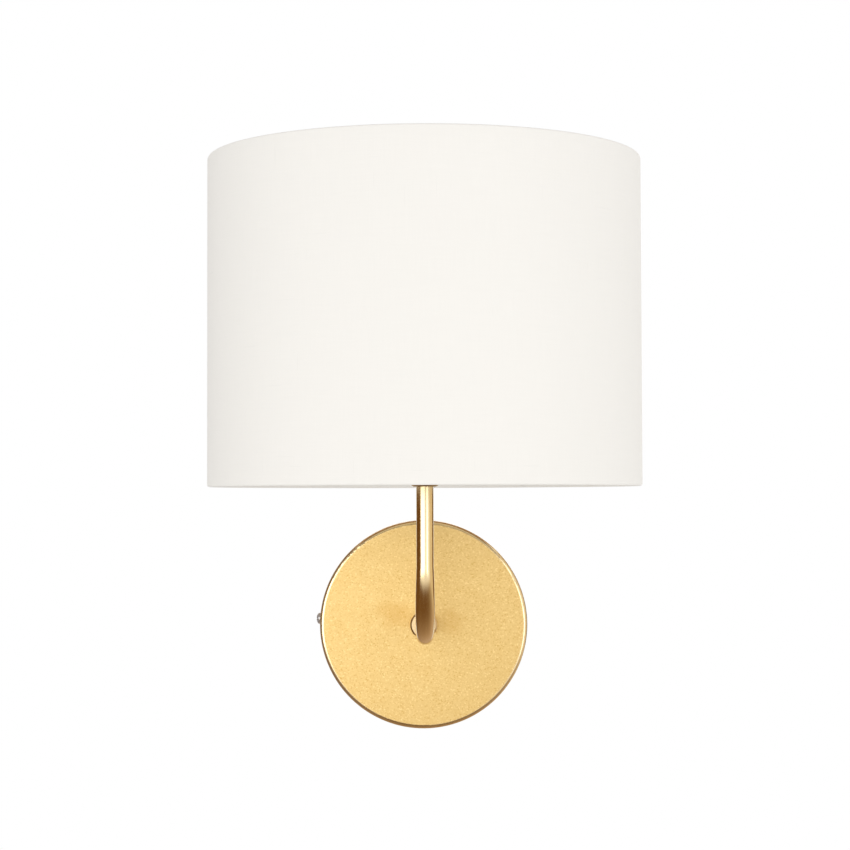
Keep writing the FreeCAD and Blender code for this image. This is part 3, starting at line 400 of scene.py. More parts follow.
def outline_sheet(shape, columns):
    """A sheet with a row for each point of the outline, and each row's radius, height and other numbers."""
    rows = len(shape.outline.vertices)
    grid, across, row = skin(shape, columns + 1, rows)
    index = (row * (rows - 1)).rounded()

    def at_row(value, kind):
        return shape.add(
            "GeometryNodeSampleIndex", {"data_type": kind, "domain": "POINT"},
            {"Geometry": shape.inlet, "Value": value, "Index": index})

    def number(name):
        named = shape.add("GeometryNodeInputNamedAttribute", {"data_type": "FLOAT"}, {"Name": name})
        return at_row(named, "FLOAT")

    radius, _, height = shape.parts(at_row(shape.add("GeometryNodeInputPosition"), "FLOAT_VECTOR"))
    return grid, across, radius, height, number


def turned(shape, flat_radius):
    """The outline turned about its axis, with a round thread where its points ask for one."""
    grid, across, radius, height, number = outline_sheet(shape, shape.size("Columns"))
    angle = across * TURN
    phase = (height / shape.size("Thread Pitch") - across) * TURN
    reach = radius - number("thread") * shape.size("Thread Depth") * (0.5 - phase.cosine() * 0.5)
    place = shape.vector(reach * angle.cosine(), reach * angle.sine(), height)
    return bent(shape, grid, place, shape.vector(angle * flat_radius, number("along"), 0.0))


# Finishes
class Finish(Tree):
    """A material's node tree."""

    def __init__(self, name):
        self.material = bpy.data.materials.new(name)
        self.material.use_nodes = True
        super().__init__(self.material.node_tree)
        self.tree.nodes.clear()
        self.object_place = self.add("ShaderNodeTexCoord", None, None, "Object")

    def noise(self, scale, detail=2.0, place=None):
        return self.add("ShaderNodeTexNoise", None, {
            "Vector": place or self.object_place, "Scale": scale, "Detail": detail, "Roughness": 0.5})

    def cells(self, scale, place=None):
        """A number from 0 to 1 for each cell of a broken-up surface."""
        inputs = {"Vector": place or self.object_place, "Scale": scale}
        return self.parts(self.add("ShaderNodeTexVoronoi", None, inputs, "Color"))[0]

    def stretched(self, x, y, z):
        """The piece's own place with each axis drawn out or pressed together."""
        return self.object_place * self.vector(x, y, z)

    def tinted(self, tone, amount, strength):
        """A colour made lighter and darker by a value that runs from 0 to 1."""
        high = tuple(min(channel, 1.0) for channel in toned(tone, 1 + strength))
        return self.mixed(toned(tone, 1 - strength), high, amount)

    def mixed(self, first, second, amount):
        return self.add("ShaderNodeMix", {"data_type": "RGBA"}, {0: amount, 6: first, 7: second}, 2)

    def bump(self, height, distance, strength):
        inputs = {"Height": height, "Distance": distance, "Strength": strength}
        return self.add("ShaderNodeBump", None, inputs)

    def surface(self, **inputs):
        """End the tree with a surface, whose sockets are given in lower case."""
        sockets = {name.replace("_", " ").title().replace("Ior", "IOR"): inputs[name] for name in inputs}
        body = self.add("ShaderNodeBsdfPrincipled", None, sockets)
        self.add("ShaderNodeOutputMaterial", None, {"Surface": body})
        return self.material


def toned(tone, by):
    """A colour times a number, or with each channel times its own."""
    return tuple(channel * part for channel, part in zip(tone, by if isinstance(by, tuple) else (by,) * 3))


def gold_paint(tone):
    """Matt gold paint: fine flakes in lacquer, painted shade beside the arm and a smoother edge with a
    painted highlight, strongest at the left and right.
    """
    paint = Finish("gold_paint")
    flakes = paint.cells(1900)
    grain = paint.noise(1300, 3)
    mottle = paint.noise(110, 3)
    x, y, z = paint.parts(paint.object_place)
    radius = (x * x + z * z).root()
    from_rim = y - radius + (PLATE_RADIUS - PLATE_FRONT)
    edge = radius.eased(PLATE_RADIUS - 2.4 * MM, PLATE_RADIUS - 1.6 * MM)
    edge = edge * from_rim.eased(1.9 * MM, 2.4 * MM, 1.0, 0.0)
    # Painted shade: darker, more orange patches on both sides of the arm's root
    arm_shade_x = (abs(x + 1.5 * MM) - 13 * MM) / (12 * MM)
    arm_shade_z = (z + x * 0.15 - 3 * MM) / (8 * MM)
    painted_arm_shade = (arm_shade_x * arm_shade_x + arm_shade_z * arm_shade_z + (mottle - 0.5) * 1.4).eased(-0.2, 1.2, 1.0, 0.0)
    specks = flakes.eased(0.9, 0.97) - flakes.eased(0.03, 0.1, 1.0, 0.0)
    amount = (flakes - 0.5) * 0.26 + specks * 0.28 + (grain - 0.5) * 0.3 + mottle * 0.16 + 0.42
    base = paint.mixed(toned(tone, (0.8, 0.7, 0.5)), toned(tone, (1.16, 1.25, 1.5)), amount)
    base = paint.mixed(base, toned(tone, (0.8, 0.64, 0.36)), painted_arm_shade * 0.4)
    # Painted highlight: the edge is made paler, most at the left and right and least at the top
    painted_edge_highlight = edge * (x * x / PLATE_RADIUS ** 2 * 0.5 + 0.2)
    base = paint.mixed(base, (0.95, 0.8, 0.56), painted_edge_highlight)
    height = flakes * 0.6 + grain * 0.4
    return paint.surface(
        base_color=base, metallic=0.85, roughness=0.36 + (grain - 0.5) * 0.25 - edge * 0.22,
        normal=paint.bump(height * (1 - edge), 0.04 * MM, 0.3), coat_weight=0.1, coat_roughness=0.25)


def satin_gold(name, tone, roughness=0.2):
    """Smooth gold with faint lengthwise lines from drawing and polishing, under a thin lacquer."""
    metal = Finish(name)
    fine = metal.noise(4200, 2, metal.stretched(1, 0.02, 0.02))
    lines = metal.noise(900, 2, metal.stretched(1, 0.03, 0.03))
    cloud = metal.noise(90, 2)
    base = metal.tinted(tone, fine * 0.2 + lines * 0.6 + cloud * 0.2, 0.16)
    return metal.surface(
        base_color=base, metallic=1.0, roughness=roughness + (lines - 0.5) * 0.22 + (cloud - 0.5) * 0.08,
        normal=metal.bump(fine * 0.4 + lines, 0.006 * MM, 0.4), coat_weight=0.3, coat_roughness=0.1)


def plated(name, tone, roughness, metallic=1.0):
    """Plated or bare metal with a fine, slightly uneven surface."""
    metal = Finish(name)
    grain = metal.noise(1400, 3)
    cloud = metal.noise(220, 3)
    return metal.surface(
        base_color=metal.tinted(tone, grain * 0.4 + cloud * 0.6, 0.16), metallic=metallic,
        roughness=roughness + (cloud - 0.5) * 0.25, normal=metal.bump(grain, 0.01 * MM, 0.5))


def rolled_zinc(name, tone):
    """Zinc-plated sheet: rolling lines, dull and bright patches and a few handling scratches."""
    metal = Finish(name)
    lines = metal.noise(900, 3, metal.stretched(0.03, 1, 1))
    patches = metal.cells(260, metal.object_place + metal.noise(300) * 0.002)
    cloud = metal.noise(60, 4)
    scratch_lines = metal.noise(1.0, 1, metal.stretched(2600, 60, 240) + metal.noise(12, 1) * 6)
    scratches = scratch_lines.eased(0.74, 0.79)
    base = metal.tinted(tone, lines * 0.4 + patches * 0.25 + cloud * 0.35, 0.3)
    base = metal.mixed(base, toned(tone, 0.62), scratches * 0.6)
    return metal.surface(
        base_color=base, metallic=1.0, roughness=0.34 + (patches - 0.5) * 0.12 + (cloud - 0.5) * 0.2,
        normal=metal.bump(lines * 0.5 + scratches * 0.8, 0.01 * MM, 0.5))


def moulded(name, tone, roughness=0.42, subsurface=0.0):
    """Moulded plastic: faint orange-peel skin and a little colour drift."""
    plastic = Finish(name)
    peel = plastic.noise(900)
    drift = plastic.noise(120)
    return plastic.surface(
        base_color=plastic.tinted(tone, drift, 0.04), roughness=roughness + (peel - 0.5) * 0.16,
        normal=plastic.bump(peel, 0.02 * MM, 0.4), subsurface_weight=subsurface,
        subsurface_radius=(0.001, 0.001, 0.001))


def powder_coat(tone):
    """White powder coat on the wire frame: a fine bumpy skin."""
    coat = Finish("powder_coat")
    peel = coat.noise(1800)
    return coat.surface(
        base_color=coat.tinted(tone, coat.noise(200), 0.05), roughness=0.38 + (peel - 0.5) * 0.2,
        normal=coat.bump(peel, 0.03 * MM, 0.5))


def insulation(name, tone, stripe=None):
    """Extruded wire insulation, striped where there is a second colour."""
    sleeve = Finish(name)
    fine = sleeve.noise(1600)
    base = sleeve.tinted(tone, fine, 0.1)
    if stripe is not None:
        x, _, z = sleeve.parts(sleeve.object_place)
        wave = ((x + z) * (TURN / (4.2 * MM))).sine()
        base = sleeve.mixed(base, stripe, wave.eased(-0.1, 0.1))
    return sleeve.surface(
        base_color=base, roughness=0.4 + (fine - 0.5) * 0.2, normal=sleeve.bump(fine, 0.02 * MM, 0.4))


def woven_cloth(tone, pitch):
    """Off-white plain weave with a few thicker threads and, at the seam, a darker line: the cut edge and a
    painted shadow of the lap's step.
    """
    cloth = Finish("woven_cloth")
    flat = cloth.add("ShaderNodeUVMap", {"uv_map": "UVMap"})
    u, v, _ = cloth.parts(flat)
    wander = (cloth.noise(420, 2, flat) - 0.5) * (0.5 * pitch)
    warp_wave = ((u + wander) * (math.pi / pitch)).sine()
    weft_wave = ((v + wander) * (math.pi / pitch)).sine()
    over = (warp_wave * weft_wave * 3.0).eased(-1.0, 1.0)
    weave = abs(warp_wave) * over + abs(weft_wave) * (1 - over)

    def streaks(across, along):
        return cloth.noise(1.0, 1, flat * cloth.vector(across, along, 1.0))

    threads = streaks(1600.0, 60.0) * over + streaks(60.0, 1600.0) * (1 - over)
    slubs = streaks(900.0, 45.0).eased(0.72, 0.8).most(streaks(45.0, 900.0).eased(0.72, 0.8))
    base = cloth.tinted(tone, threads * 0.6 + weave * 0.4, 0.035)
    base = cloth.mixed(base, toned(tone, 0.955), slubs * 0.5)
    # Darker line along the seam: partly the cut edge, partly a painted shadow of the lap's step
    cut_edge_and_shadow = (u + wander * 0.6).eased(0.1 * MM, 0.9 * MM, 1.0, 0.0)
    base = cloth.mixed(base, toned(tone, 0.72), cut_edge_and_shadow * 0.8)
    return cloth.surface(
        base_color=base, roughness=0.88, sheen_weight=0.15, sheen_roughness=0.6, specular_ior_level=0.25,
        normal=cloth.bump(weave + slubs * 0.5 + threads * 0.5, 0.06 * MM, 0.35))


def lining_sheet(tone):
    """Satin plastic sheet that backs the cloth, with the faintest vertical drawing lines."""
    sheet = Finish("lining_sheet")
    drawn = sheet.noise(700, 2, sheet.stretched(1, 1, 0.03))
    return sheet.surface(
        base_color=sheet.tinted(tone, drawn, 0.02), roughness=0.5 + (drawn - 0.5) * 0.1,
        normal=sheet.bump(drawn, 0.01 * MM, 0.3), subsurface_weight=0.1,
        subsurface_radius=(0.002, 0.002, 0.002))


def clear_glass(tone):
    """Thin blown glass with the faintest waviness."""
    glass = Finish("clear_glass")
    return glass.surface(
        base_color=tone, roughness=0.015, transmission_weight=1.0, ior=1.46,
        normal=glass.bump(glass.noise(90, 1), 0.02 * MM, 0.3))


def filament_coating(tone):
    """Soft phosphor coating over the row of diodes on each filament."""
    coating = Finish("filament_coating")
    _, _, z = coating.parts(coating.object_place)
    beads = (z * (TURN / (1.4 * MM))).sine()
    return coating.surface(
        base_color=coating.tinted(tone, beads * 0.5 + 0.5, 0.15), roughness=0.45,
        normal=coating.bump(beads, 0.05 * MM, 0.4), subsurface_weight=0.3,
        subsurface_radius=(0.001, 0.0008, 0.0004))


def dress(material, *nodes):
    """Give packed nodes a finish."""
    for node in nodes:
        NODES[node].data.materials.clear()
        NODES[node].data.materials.append(material)


def mount(piece, body, slot, *nodes):
    """Let a new piece ride on its body and stand for packed nodes."""
    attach(piece, body)
    if nodes:
        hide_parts(*nodes)


# Operators, one for each piece or group of like pieces
class WallPlate(bpy.types.Operator):
    """Finish the pressed wall plate in matt gold and the turned collars in satin gold"""

    bl_idname = "wall_light.wall_plate"
    bl_label = "Wall plate and collars"

    def execute(self, context):
        tones = context.scene.wall_light_colours
        dress(gold_paint(tones.gold), "backplate_cover")
        dress(satin_gold("turned_gold", toned(tones.gold_tube, 0.75), 0.36), "arm_root_collar")
        # The top collar has the plate's gold at half its tone: painted shade under the shade's rim
        dress(satin_gold("shaded_gold", toned(tones.gold, 0.5), 0.3), "arm_top_collar")
        return {"FINISHED"}


class ArmTube(bpy.types.Operator):
    """Make the arm's tube, wider and thinner in its bend than where it is straight"""

    bl_idname = "wall_light.arm_tube"
    bl_label = "Arm tube"

    def execute(self, context):
        arm = context.scene.wall_light_arm
        columns, rows = 480, 73
        shape = Shape("bent_tube", {
            "Radius": arm.radius, "Wall": arm.wall, "Bend Radius": arm.bend,
            "Run": TUBE_HIGH.y - LAMP.y - arm.bend, "Rise": TUBE_HIGH.z - arm.bend,
            "Widening": arm.widening, "Flattening": arm.flattening})
        bend, straight = shape.size("Bend Radius"), shape.size("Run")
        grid, across, row = skin(shape, columns + 1, rows)
        # The sheet goes out along the tube and comes back inside its bore
        curve = bend * (math.pi / 2)
        inside = (across > 0.5 + 0.5 / columns) * (across < 1 - 0.5 / columns)
        here = (1 - abs(across * 2 - 1)) * (straight + curve + shape.size("Rise"))
        turn = ((here - straight) / bend).most(0.0).least(math.pi / 2)
        oval = (turn * 2).sine() ** 0.85
        around = row * TURN
        reach = shape.size("Radius") - inside * shape.size("Wall")
        x = reach * around.cosine() * (1 + oval * shape.size("Widening"))
        out = reach * around.sine() * (1 - oval * shape.size("Flattening"))
        middle_y = here.least(straight) + bend * turn.sine()
        middle_z = bend * (1 - turn.cosine()) + (here - straight - curve).most(0.0)
        place = shape.vector(
            x, TUBE_HIGH.y - middle_y - out * turn.sine(), middle_z - out * turn.cosine())
        uv = shape.vector(here, row * (TURN * arm.radius), 0.0)
        satin = satin_gold("satin_gold", context.scene.wall_light_colours.gold_tube)
        shape.finish(bent(shape, grid, place, uv), satin)
        mount(shape.make("arm_bent_tube", Matrix()), "root", "gold_finish", "arm_tube")
        return {"FINISHED"}


class SideScrew(bpy.types.Operator):
    """Make the plate's side screw, with its cross recess and thread, and finish the peg"""

    bl_idname = "wall_light.side_screw"
    bl_label = "Side screw and peg"

    def execute(self, context):
        sizes = context.scene.wall_light_holder
        low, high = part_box("cover_side_screw")
        middle = (low + high) / 2
        head_radius, head = (high.z - low.z) / 2, -PLATE_RADIUS - low.x
        thread, tip = 1.5 * MM, 6 * MM
        corners = [(0.0, head)] + [
            (head_radius * math.sin(angle), head * (0.3 + 0.7 * math.cos(angle)))
            for angle in (math.radians(step * 7.5) for step in range(1, 13))]
        corners += [(head_radius, 0.0), (thread, 0.0)]
        corners += threaded(thread, -0.2 * MM, 0.9 * MM - tip, 48, 1)
        corners += [(thread - 0.6 * MM, -tip), (0.0, -tip)]
        shape = Shape("pan_head_screw", {
            "Columns": 48, "Thread Pitch": sizes.screw_pitch, "Thread Depth": sizes.screw_depth,
            "Recess": sizes.recess, "Recess Wing": sizes.recess_wing,
            "Recess Depth": sizes.recess_depth}, corners)
        size = shape.vector(shape.size("Recess"), shape.size("Recess Wing"), shape.size("Recess Depth") * 2)
        wing = shape.add("GeometryNodeMeshCube", None, {"Size": size})
        wings = [
            shape.add("GeometryNodeTransform", None, {
                "Geometry": wing, "Translation": (0.0, 0.0, head), "Rotation": (0.0, 0.0, quarter)})
            for quarter in (0.0, math.pi / 2)]
        cut = shape.add(
            "GeometryNodeMeshBoolean", {"operation": "DIFFERENCE", "solver": "EXACT"},
            {"Mesh 1": turned(shape, thread), "Mesh 2": wings})
        steel = plated("dull_zinc", context.scene.wall_light_colours.zinc, 0.3, 0.65)
        shape.finish(cut, steel)
        place = Matrix.Translation((-PLATE_RADIUS, middle.y, middle.z))
        screw = shape.make("side_screw", place @ Matrix.Rotation(-math.pi / 2, 4, "Y"))
        mount(screw, "root", "zinc_steel", "cover_side_screw")
        dress(steel, "cover_locating_peg")
        return {"FINISHED"}


class PlateFastenings(bpy.types.Operator):
    """Finish the bracket, the washers and the nut behind the plate in zinc"""

    bl_idname = "wall_light.plate_fastenings"
    bl_label = "Bracket, washers and nut"

    def execute(self, context):
        zinc = context.scene.wall_light_colours.zinc
        dress(rolled_zinc("bracket_zinc", toned(zinc, 0.9)), "mounting_bracket", "arm_stiffening_washer")
        dress(plated("spring_steel", toned(zinc, 0.8), 0.3), "arm_star_washer", "arm_lock_nut")
        return {"FINISHED"}


class Wiring(bpy.types.Operator):
    """Finish the terminal block, the earth connection and the insulated wires"""

    bl_idname = "wall_light.wiring"
    bl_label = "Terminal block and wires"

    def execute(self, context):
        tones = context.scene.wall_light_colours
        dress(moulded("block_plastic", tones.white, 0.35, 0.2), "terminal_block_body", "wire_bush")
        dress(plated("bare_brass", tones.brass, 0.28), "terminal_block_sleeves")
        dress(
            plated("screw_zinc", tones.zinc, 0.3),
            "terminal_block_screws", "terminal_block_fixing_screws", "earth_screw")
        dress(plated("tinned_lug", tones.tin, 0.35), "earth_lug")
        dress(insulation("brown_insulation", tones.brown), "live_wire")
        dress(insulation("blue_insulation", tones.blue), "neutral_wire")
        dress(insulation("earth_insulation", tones.green, tones.yellow), "earth_wire")
        return {"FINISHED"}


class Lampholder(bpy.types.Operator):
    """Finish the lampholder and give its skirt the thread that the shade ring runs on"""

    bl_idname = "wall_light.lampholder"
    bl_label = "Lampholder"

    def execute(self, context):
        sizes, tones = context.scene.wall_light_holder, context.scene.wall_light_colours
        plastic = moulded("holder_plastic", tones.white)
        dress(plastic, "lampholder_base", "lampholder_insert", "shade_ring")
        dress(
            plated("contact_brass", tones.brass, 0.24),
            "lampholder_screw_shell", "lampholder_centre_contact")
        dress(plated("terminal_zinc", tones.zinc, 0.3), "lampholder_terminal_screws")
        low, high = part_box("lampholder_skirt")
        foot, top, flange = low.z - LAMP.z, high.z - LAMP.z, high.x
        step, thread, bore = foot + 2.5 * MM, 14 * MM, 12.2 * MM
        corners = [(bore, foot), (flange, foot), (flange, step)]
        corners += [(thread + 0.3 * MM, step), (thread, step + 0.3 * MM)]
        corners += threaded(thread, step + 1.8 * MM, top - step - 3 * MM, 108, 4)
        corners += [(thread, top - 0.6 * MM), (thread - 0.5 * MM, top), (bore, top)]
        shape = Shape("threaded_skirt", {
            "Columns": 120, "Thread Pitch": sizes.skirt_pitch, "Thread Depth": sizes.skirt_depth}, corners)
        shape.finish(turned(shape, THREAD_FLAT), plastic)
        mount(shape.make("lampholder_threaded_skirt"), "root", "white_plastic", "lampholder_skirt")
        return {"FINISHED"}


class Bulb(bpy.types.Operator):
    """Make the bulb's rolled cap and finish its glass, stem, filaments and contact"""

    bl_idname = "wall_light.bulb"
    bl_label = "Bulb"

    def execute(self, context):
        sizes, tones = context.scene.wall_light_holder, context.scene.wall_light_colours
        nickel = plated("nickel_plate", tones.nickel, 0.22)
        dress(clear_glass(tones.glass), "bulb_glass", "bulb_stem")
        dress(nickel, "bulb_centre_contact")
        dress(moulded("black_glass", tones.black, 0.12), "bulb_insulator")
        dress(plated("filament_wire", tones.zinc, 0.3), "bulb_filament_wires")
        dress(filament_coating(tones.phosphor), "bulb_filaments")
        low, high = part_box("bulb_cap")
        foot, top, radius = low.z - LAMP.z, high.z - LAMP.z, high.x
        wall, shoulder = 0.4 * MM, 1.3 * MM
        thread = threaded(
            radius, foot + shoulder + 0.3 * MM, top - foot - shoulder - 2.6 * MM, 96, 5)
        corners = [(radius - 2 * shoulder, foot), (radius - shoulder, foot), (radius, foot + shoulder)]
        corners += thread + [(radius, top - 1.2 * MM), (radius, top), (radius - wall, top)]
        corners += [(radius - wall, height, depth) for _, height, depth in reversed(thread)]
        corners += [(radius - wall, foot + shoulder), (radius - 2 * shoulder, foot + wall)]
        shape = Shape("rolled_cap", {
            "Columns": 120, "Thread Pitch": sizes.cap_pitch, "Thread Depth": sizes.cap_depth}, corners)
        shape.finish(turned(shape, THREAD_FLAT), nickel)
        mount(shape.make("bulb_rolled_cap"), "bulb", "nickel_plate", "bulb_cap")
        return {"FINISHED"}


class ShadeFrame(bpy.types.Operator):
    """Finish the shade's wire frame in white and add the weld beads at its arms"""

    bl_idname = "wall_light.shade_frame"
    bl_label = "Shade frame"

    def execute(self, context):
        sizes = context.scene.wall_light_shade
        coat = powder_coat(context.scene.wall_light_colours.white)
        dress(coat, "shade_fitter_ring", "shade_fitter_arms", "shade_bottom_ring", "shade_top_ring")
        ring_low, ring_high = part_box("shade_fitter_ring")
        ring, under_ring = ring_high.x - 1.2 * MM, ring_low.z - LAMP.z - 0.6 * MM
        hem = sizes.cloth + sizes.lining + sizes.wire
        self.welds("ring_welds", sizes, coat, ring, under_ring, (1.3, 1.0, 0.6))
        self.welds("rim_welds", sizes, coat, SHADE_RADIUS - hem - 1.0 * MM, hem + 0.5 * MM, (0.9, 1.15, 0.8))
        return {"FINISHED"}

    def welds(self, name, sizes, coat, radius, level, stretch):
        """A bead of weld for each arm, on a circle round the shade's axis."""
        shape = Shape(name, {"Bead Radius": sizes.weld, "Circle Radius": radius, "Arms": ARMS})
        ring = shape.add("GeometryNodeMeshCircle", None, {
            "Vertices": shape.size("Arms"), "Radius": shape.size("Circle Radius")})
        bead = shape.add("GeometryNodeMeshIcoSphere", None, {
            "Radius": shape.size("Bead Radius"), "Subdivisions": 4})
        bumps = shape.add("ShaderNodeTexNoise", None, {"Scale": 900.0, "Detail": 1.0})
        lift = shape.add("GeometryNodeInputNormal") * ((bumps - 0.5) * (0.5 * MM))
        bead = shape.add("GeometryNodeSetPosition", None, {"Geometry": bead, "Offset": lift})
        turn = shape.vector(0.0, 0.0, shape.add("GeometryNodeInputIndex") * (TURN / ARMS))
        beads = shape.add("GeometryNodeInstanceOnPoints", None, {
            "Points": ring, "Instance": bead, "Rotation": turn, "Scale": stretch})
        beads = shape.add("GeometryNodeRealizeInstances", None, {0: beads})
        beads = shape.add("GeometryNodeSetShadeSmooth", None, {"Geometry": beads, "Shade Smooth": True})
        shape.finish(beads, coat)
        place = Matrix.Translation(LAMP + Vector((0, 0, level))) @ Matrix.Rotation(-math.pi / 2, 4, "Z")
        mount(shape.make(name, place), "shade", "white_wire")


class ShadeCover(bpy.types.Operator):
    """Make the cloth cover, whose hems wrap the frame's wires, and finish the lining"""

    bl_idname = "wall_light.shade_cover"
    bl_label = "Cloth cover and lining"

    def execute(self, context):
        sizes, tones = context.scene.wall_light_shade, context.scene.wall_light_colours
        cloth, radius, girth = sizes.cloth, SHADE_RADIUS, TURN * SHADE_RADIUS
        hem = cloth + sizes.lining + sizes.wire
        wire, lining = radius - hem, radius - cloth - sizes.lining
        shape = Shape("cloth_cover", {
            "Columns": sizes.columns, "Cloth": cloth, "Lap": sizes.lap, "Lap Fade": sizes.lap_fade,
            "Notch": sizes.notch, "Notch Level": sizes.notch_level, "Ripple": sizes.ripple,
            "Arms": ARMS}, self.section(sizes, hem, lining))
        columns = shape.size("Columns")
        grid, across, out, level, number = outline_sheet(shape, columns)
        # The seam is at the back, and the first arm at the front
        angle = across * TURN + (math.pi / 2 - sizes.lap / 2 / radius)
        spacing = TURN / shape.size("Arms")
        off_arm = abs((angle + math.pi / 2 + spacing / 2) % spacing - spacing / 2) * radius
        low_flap = (out < lining + cloth / 10) * (level < sizes.hem * 1.1)
        notched = (off_arm < shape.size("Notch") / 2) * low_flap
        level = level - notched * (level - shape.size("Notch Level")).most(0.0)
        outer = ((out - wire) / hem).most(0.0) * (out > radius - cloth / 2 - hem / 4)
        lapped = (across > 0.5 / columns) * (1 - (across * girth).eased(
            shape.size("Lap"), shape.size("Lap") + shape.size("Lap Fade")))
        ripple = shape.add("ShaderNodeTexNoise", None, {
            "Vector": shape.vector(angle.cosine() * 3.5, angle.sine() * 3.5, level * 25.0),
            "Scale": 1.0, "Detail": 2.0})
        reach = out + lapped * outer * shape.size("Cloth") + (ripple - 0.5) * shape.size("Ripple")
        place = shape.vector(reach * angle.cosine(), reach * angle.sine(), level)
        uv = shape.vector(across * girth, number("along"), 0.0)
        shape.finish(bent(shape, grid, place, uv), woven_cloth(tones.cloth, sizes.thread))
        cover = shape.make("shade_cloth_cover")
        mount(cover, "shade", "shade_cloth", "shade_fabric")
        dress(lining_sheet(tones.lining), "shade_liner")
        return {"FINISHED"}

    def section(self, sizes, hem, lining):
        """The cloth's outline: up the outside, round the top wire, down inside and round the bottom wire."""
        cloth, radius, height, bend = sizes.cloth, SHADE_RADIUS, SHADE_HEIGHT, sizes.corner
        wire, inside = radius - hem, radius - cloth
        flap, hidden, inner_bend = lining - cloth, hem - cloth, bend - cloth
        low, high = hem, height - hem
        corners = line((radius, bend), (radius, height - bend), 28)
        corners += arc(radius - bend, height - bend, bend, 0, 90, 6)
        corners += arc(wire, high, hem, 90, 270, 16)
        corners += line((wire, high - hem), (flap, high - hem), 2)[1:]
        corners += line((flap, high - hem), (flap, height - sizes.hem), 3)
        corners += [(flap, height - sizes.hem), (lining, height - sizes.hem), (lining, high - hidden)]
        corners += arc(wire, high, hidden, 270, 90, 12)
        corners += arc(inside - inner_bend, height - bend, inner_bend, 90, 0, 4)
        corners += line((inside, height - bend), (inside, bend), 12)[1:]
        corners += arc(inside - inner_bend, bend, inner_bend, 0, -90, 4)
        corners += arc(wire, low, hidden, -90, -270, 12)
        corners += [(lining, low + hidden), (lining, sizes.hem), (flap, sizes.hem)]
        corners += line((flap, sizes.hem), (flap, low + hem), 3)[1:] + [(flap, low + hem)]
        corners += arc(wire, low, hem, 90, 270, 16)
        corners += arc(radius - bend, bend, bend, 270, 360, 6)[:-1]
        return corners


# Tones of the cards, which paint the reflections that the polished metal shows
DARK_CARD, WARM_CARD, HIGH_CARD = (0.16, 0.075, 0.02), (0.76, 0.62, 0.42), (0.36, 0.21, 0.1)
WALL_REFLECTION_TONE, FRONT_REFLECTION_TONE = (0.54, 0.38, 0.25), (1.0, 0.95, 0.9)
WHITE = (1.0, 1.0, 1.0)
# Reach and half height of the upright cards, in metres
CARD_REACH, CARD_TOP = 1.5, 1.2


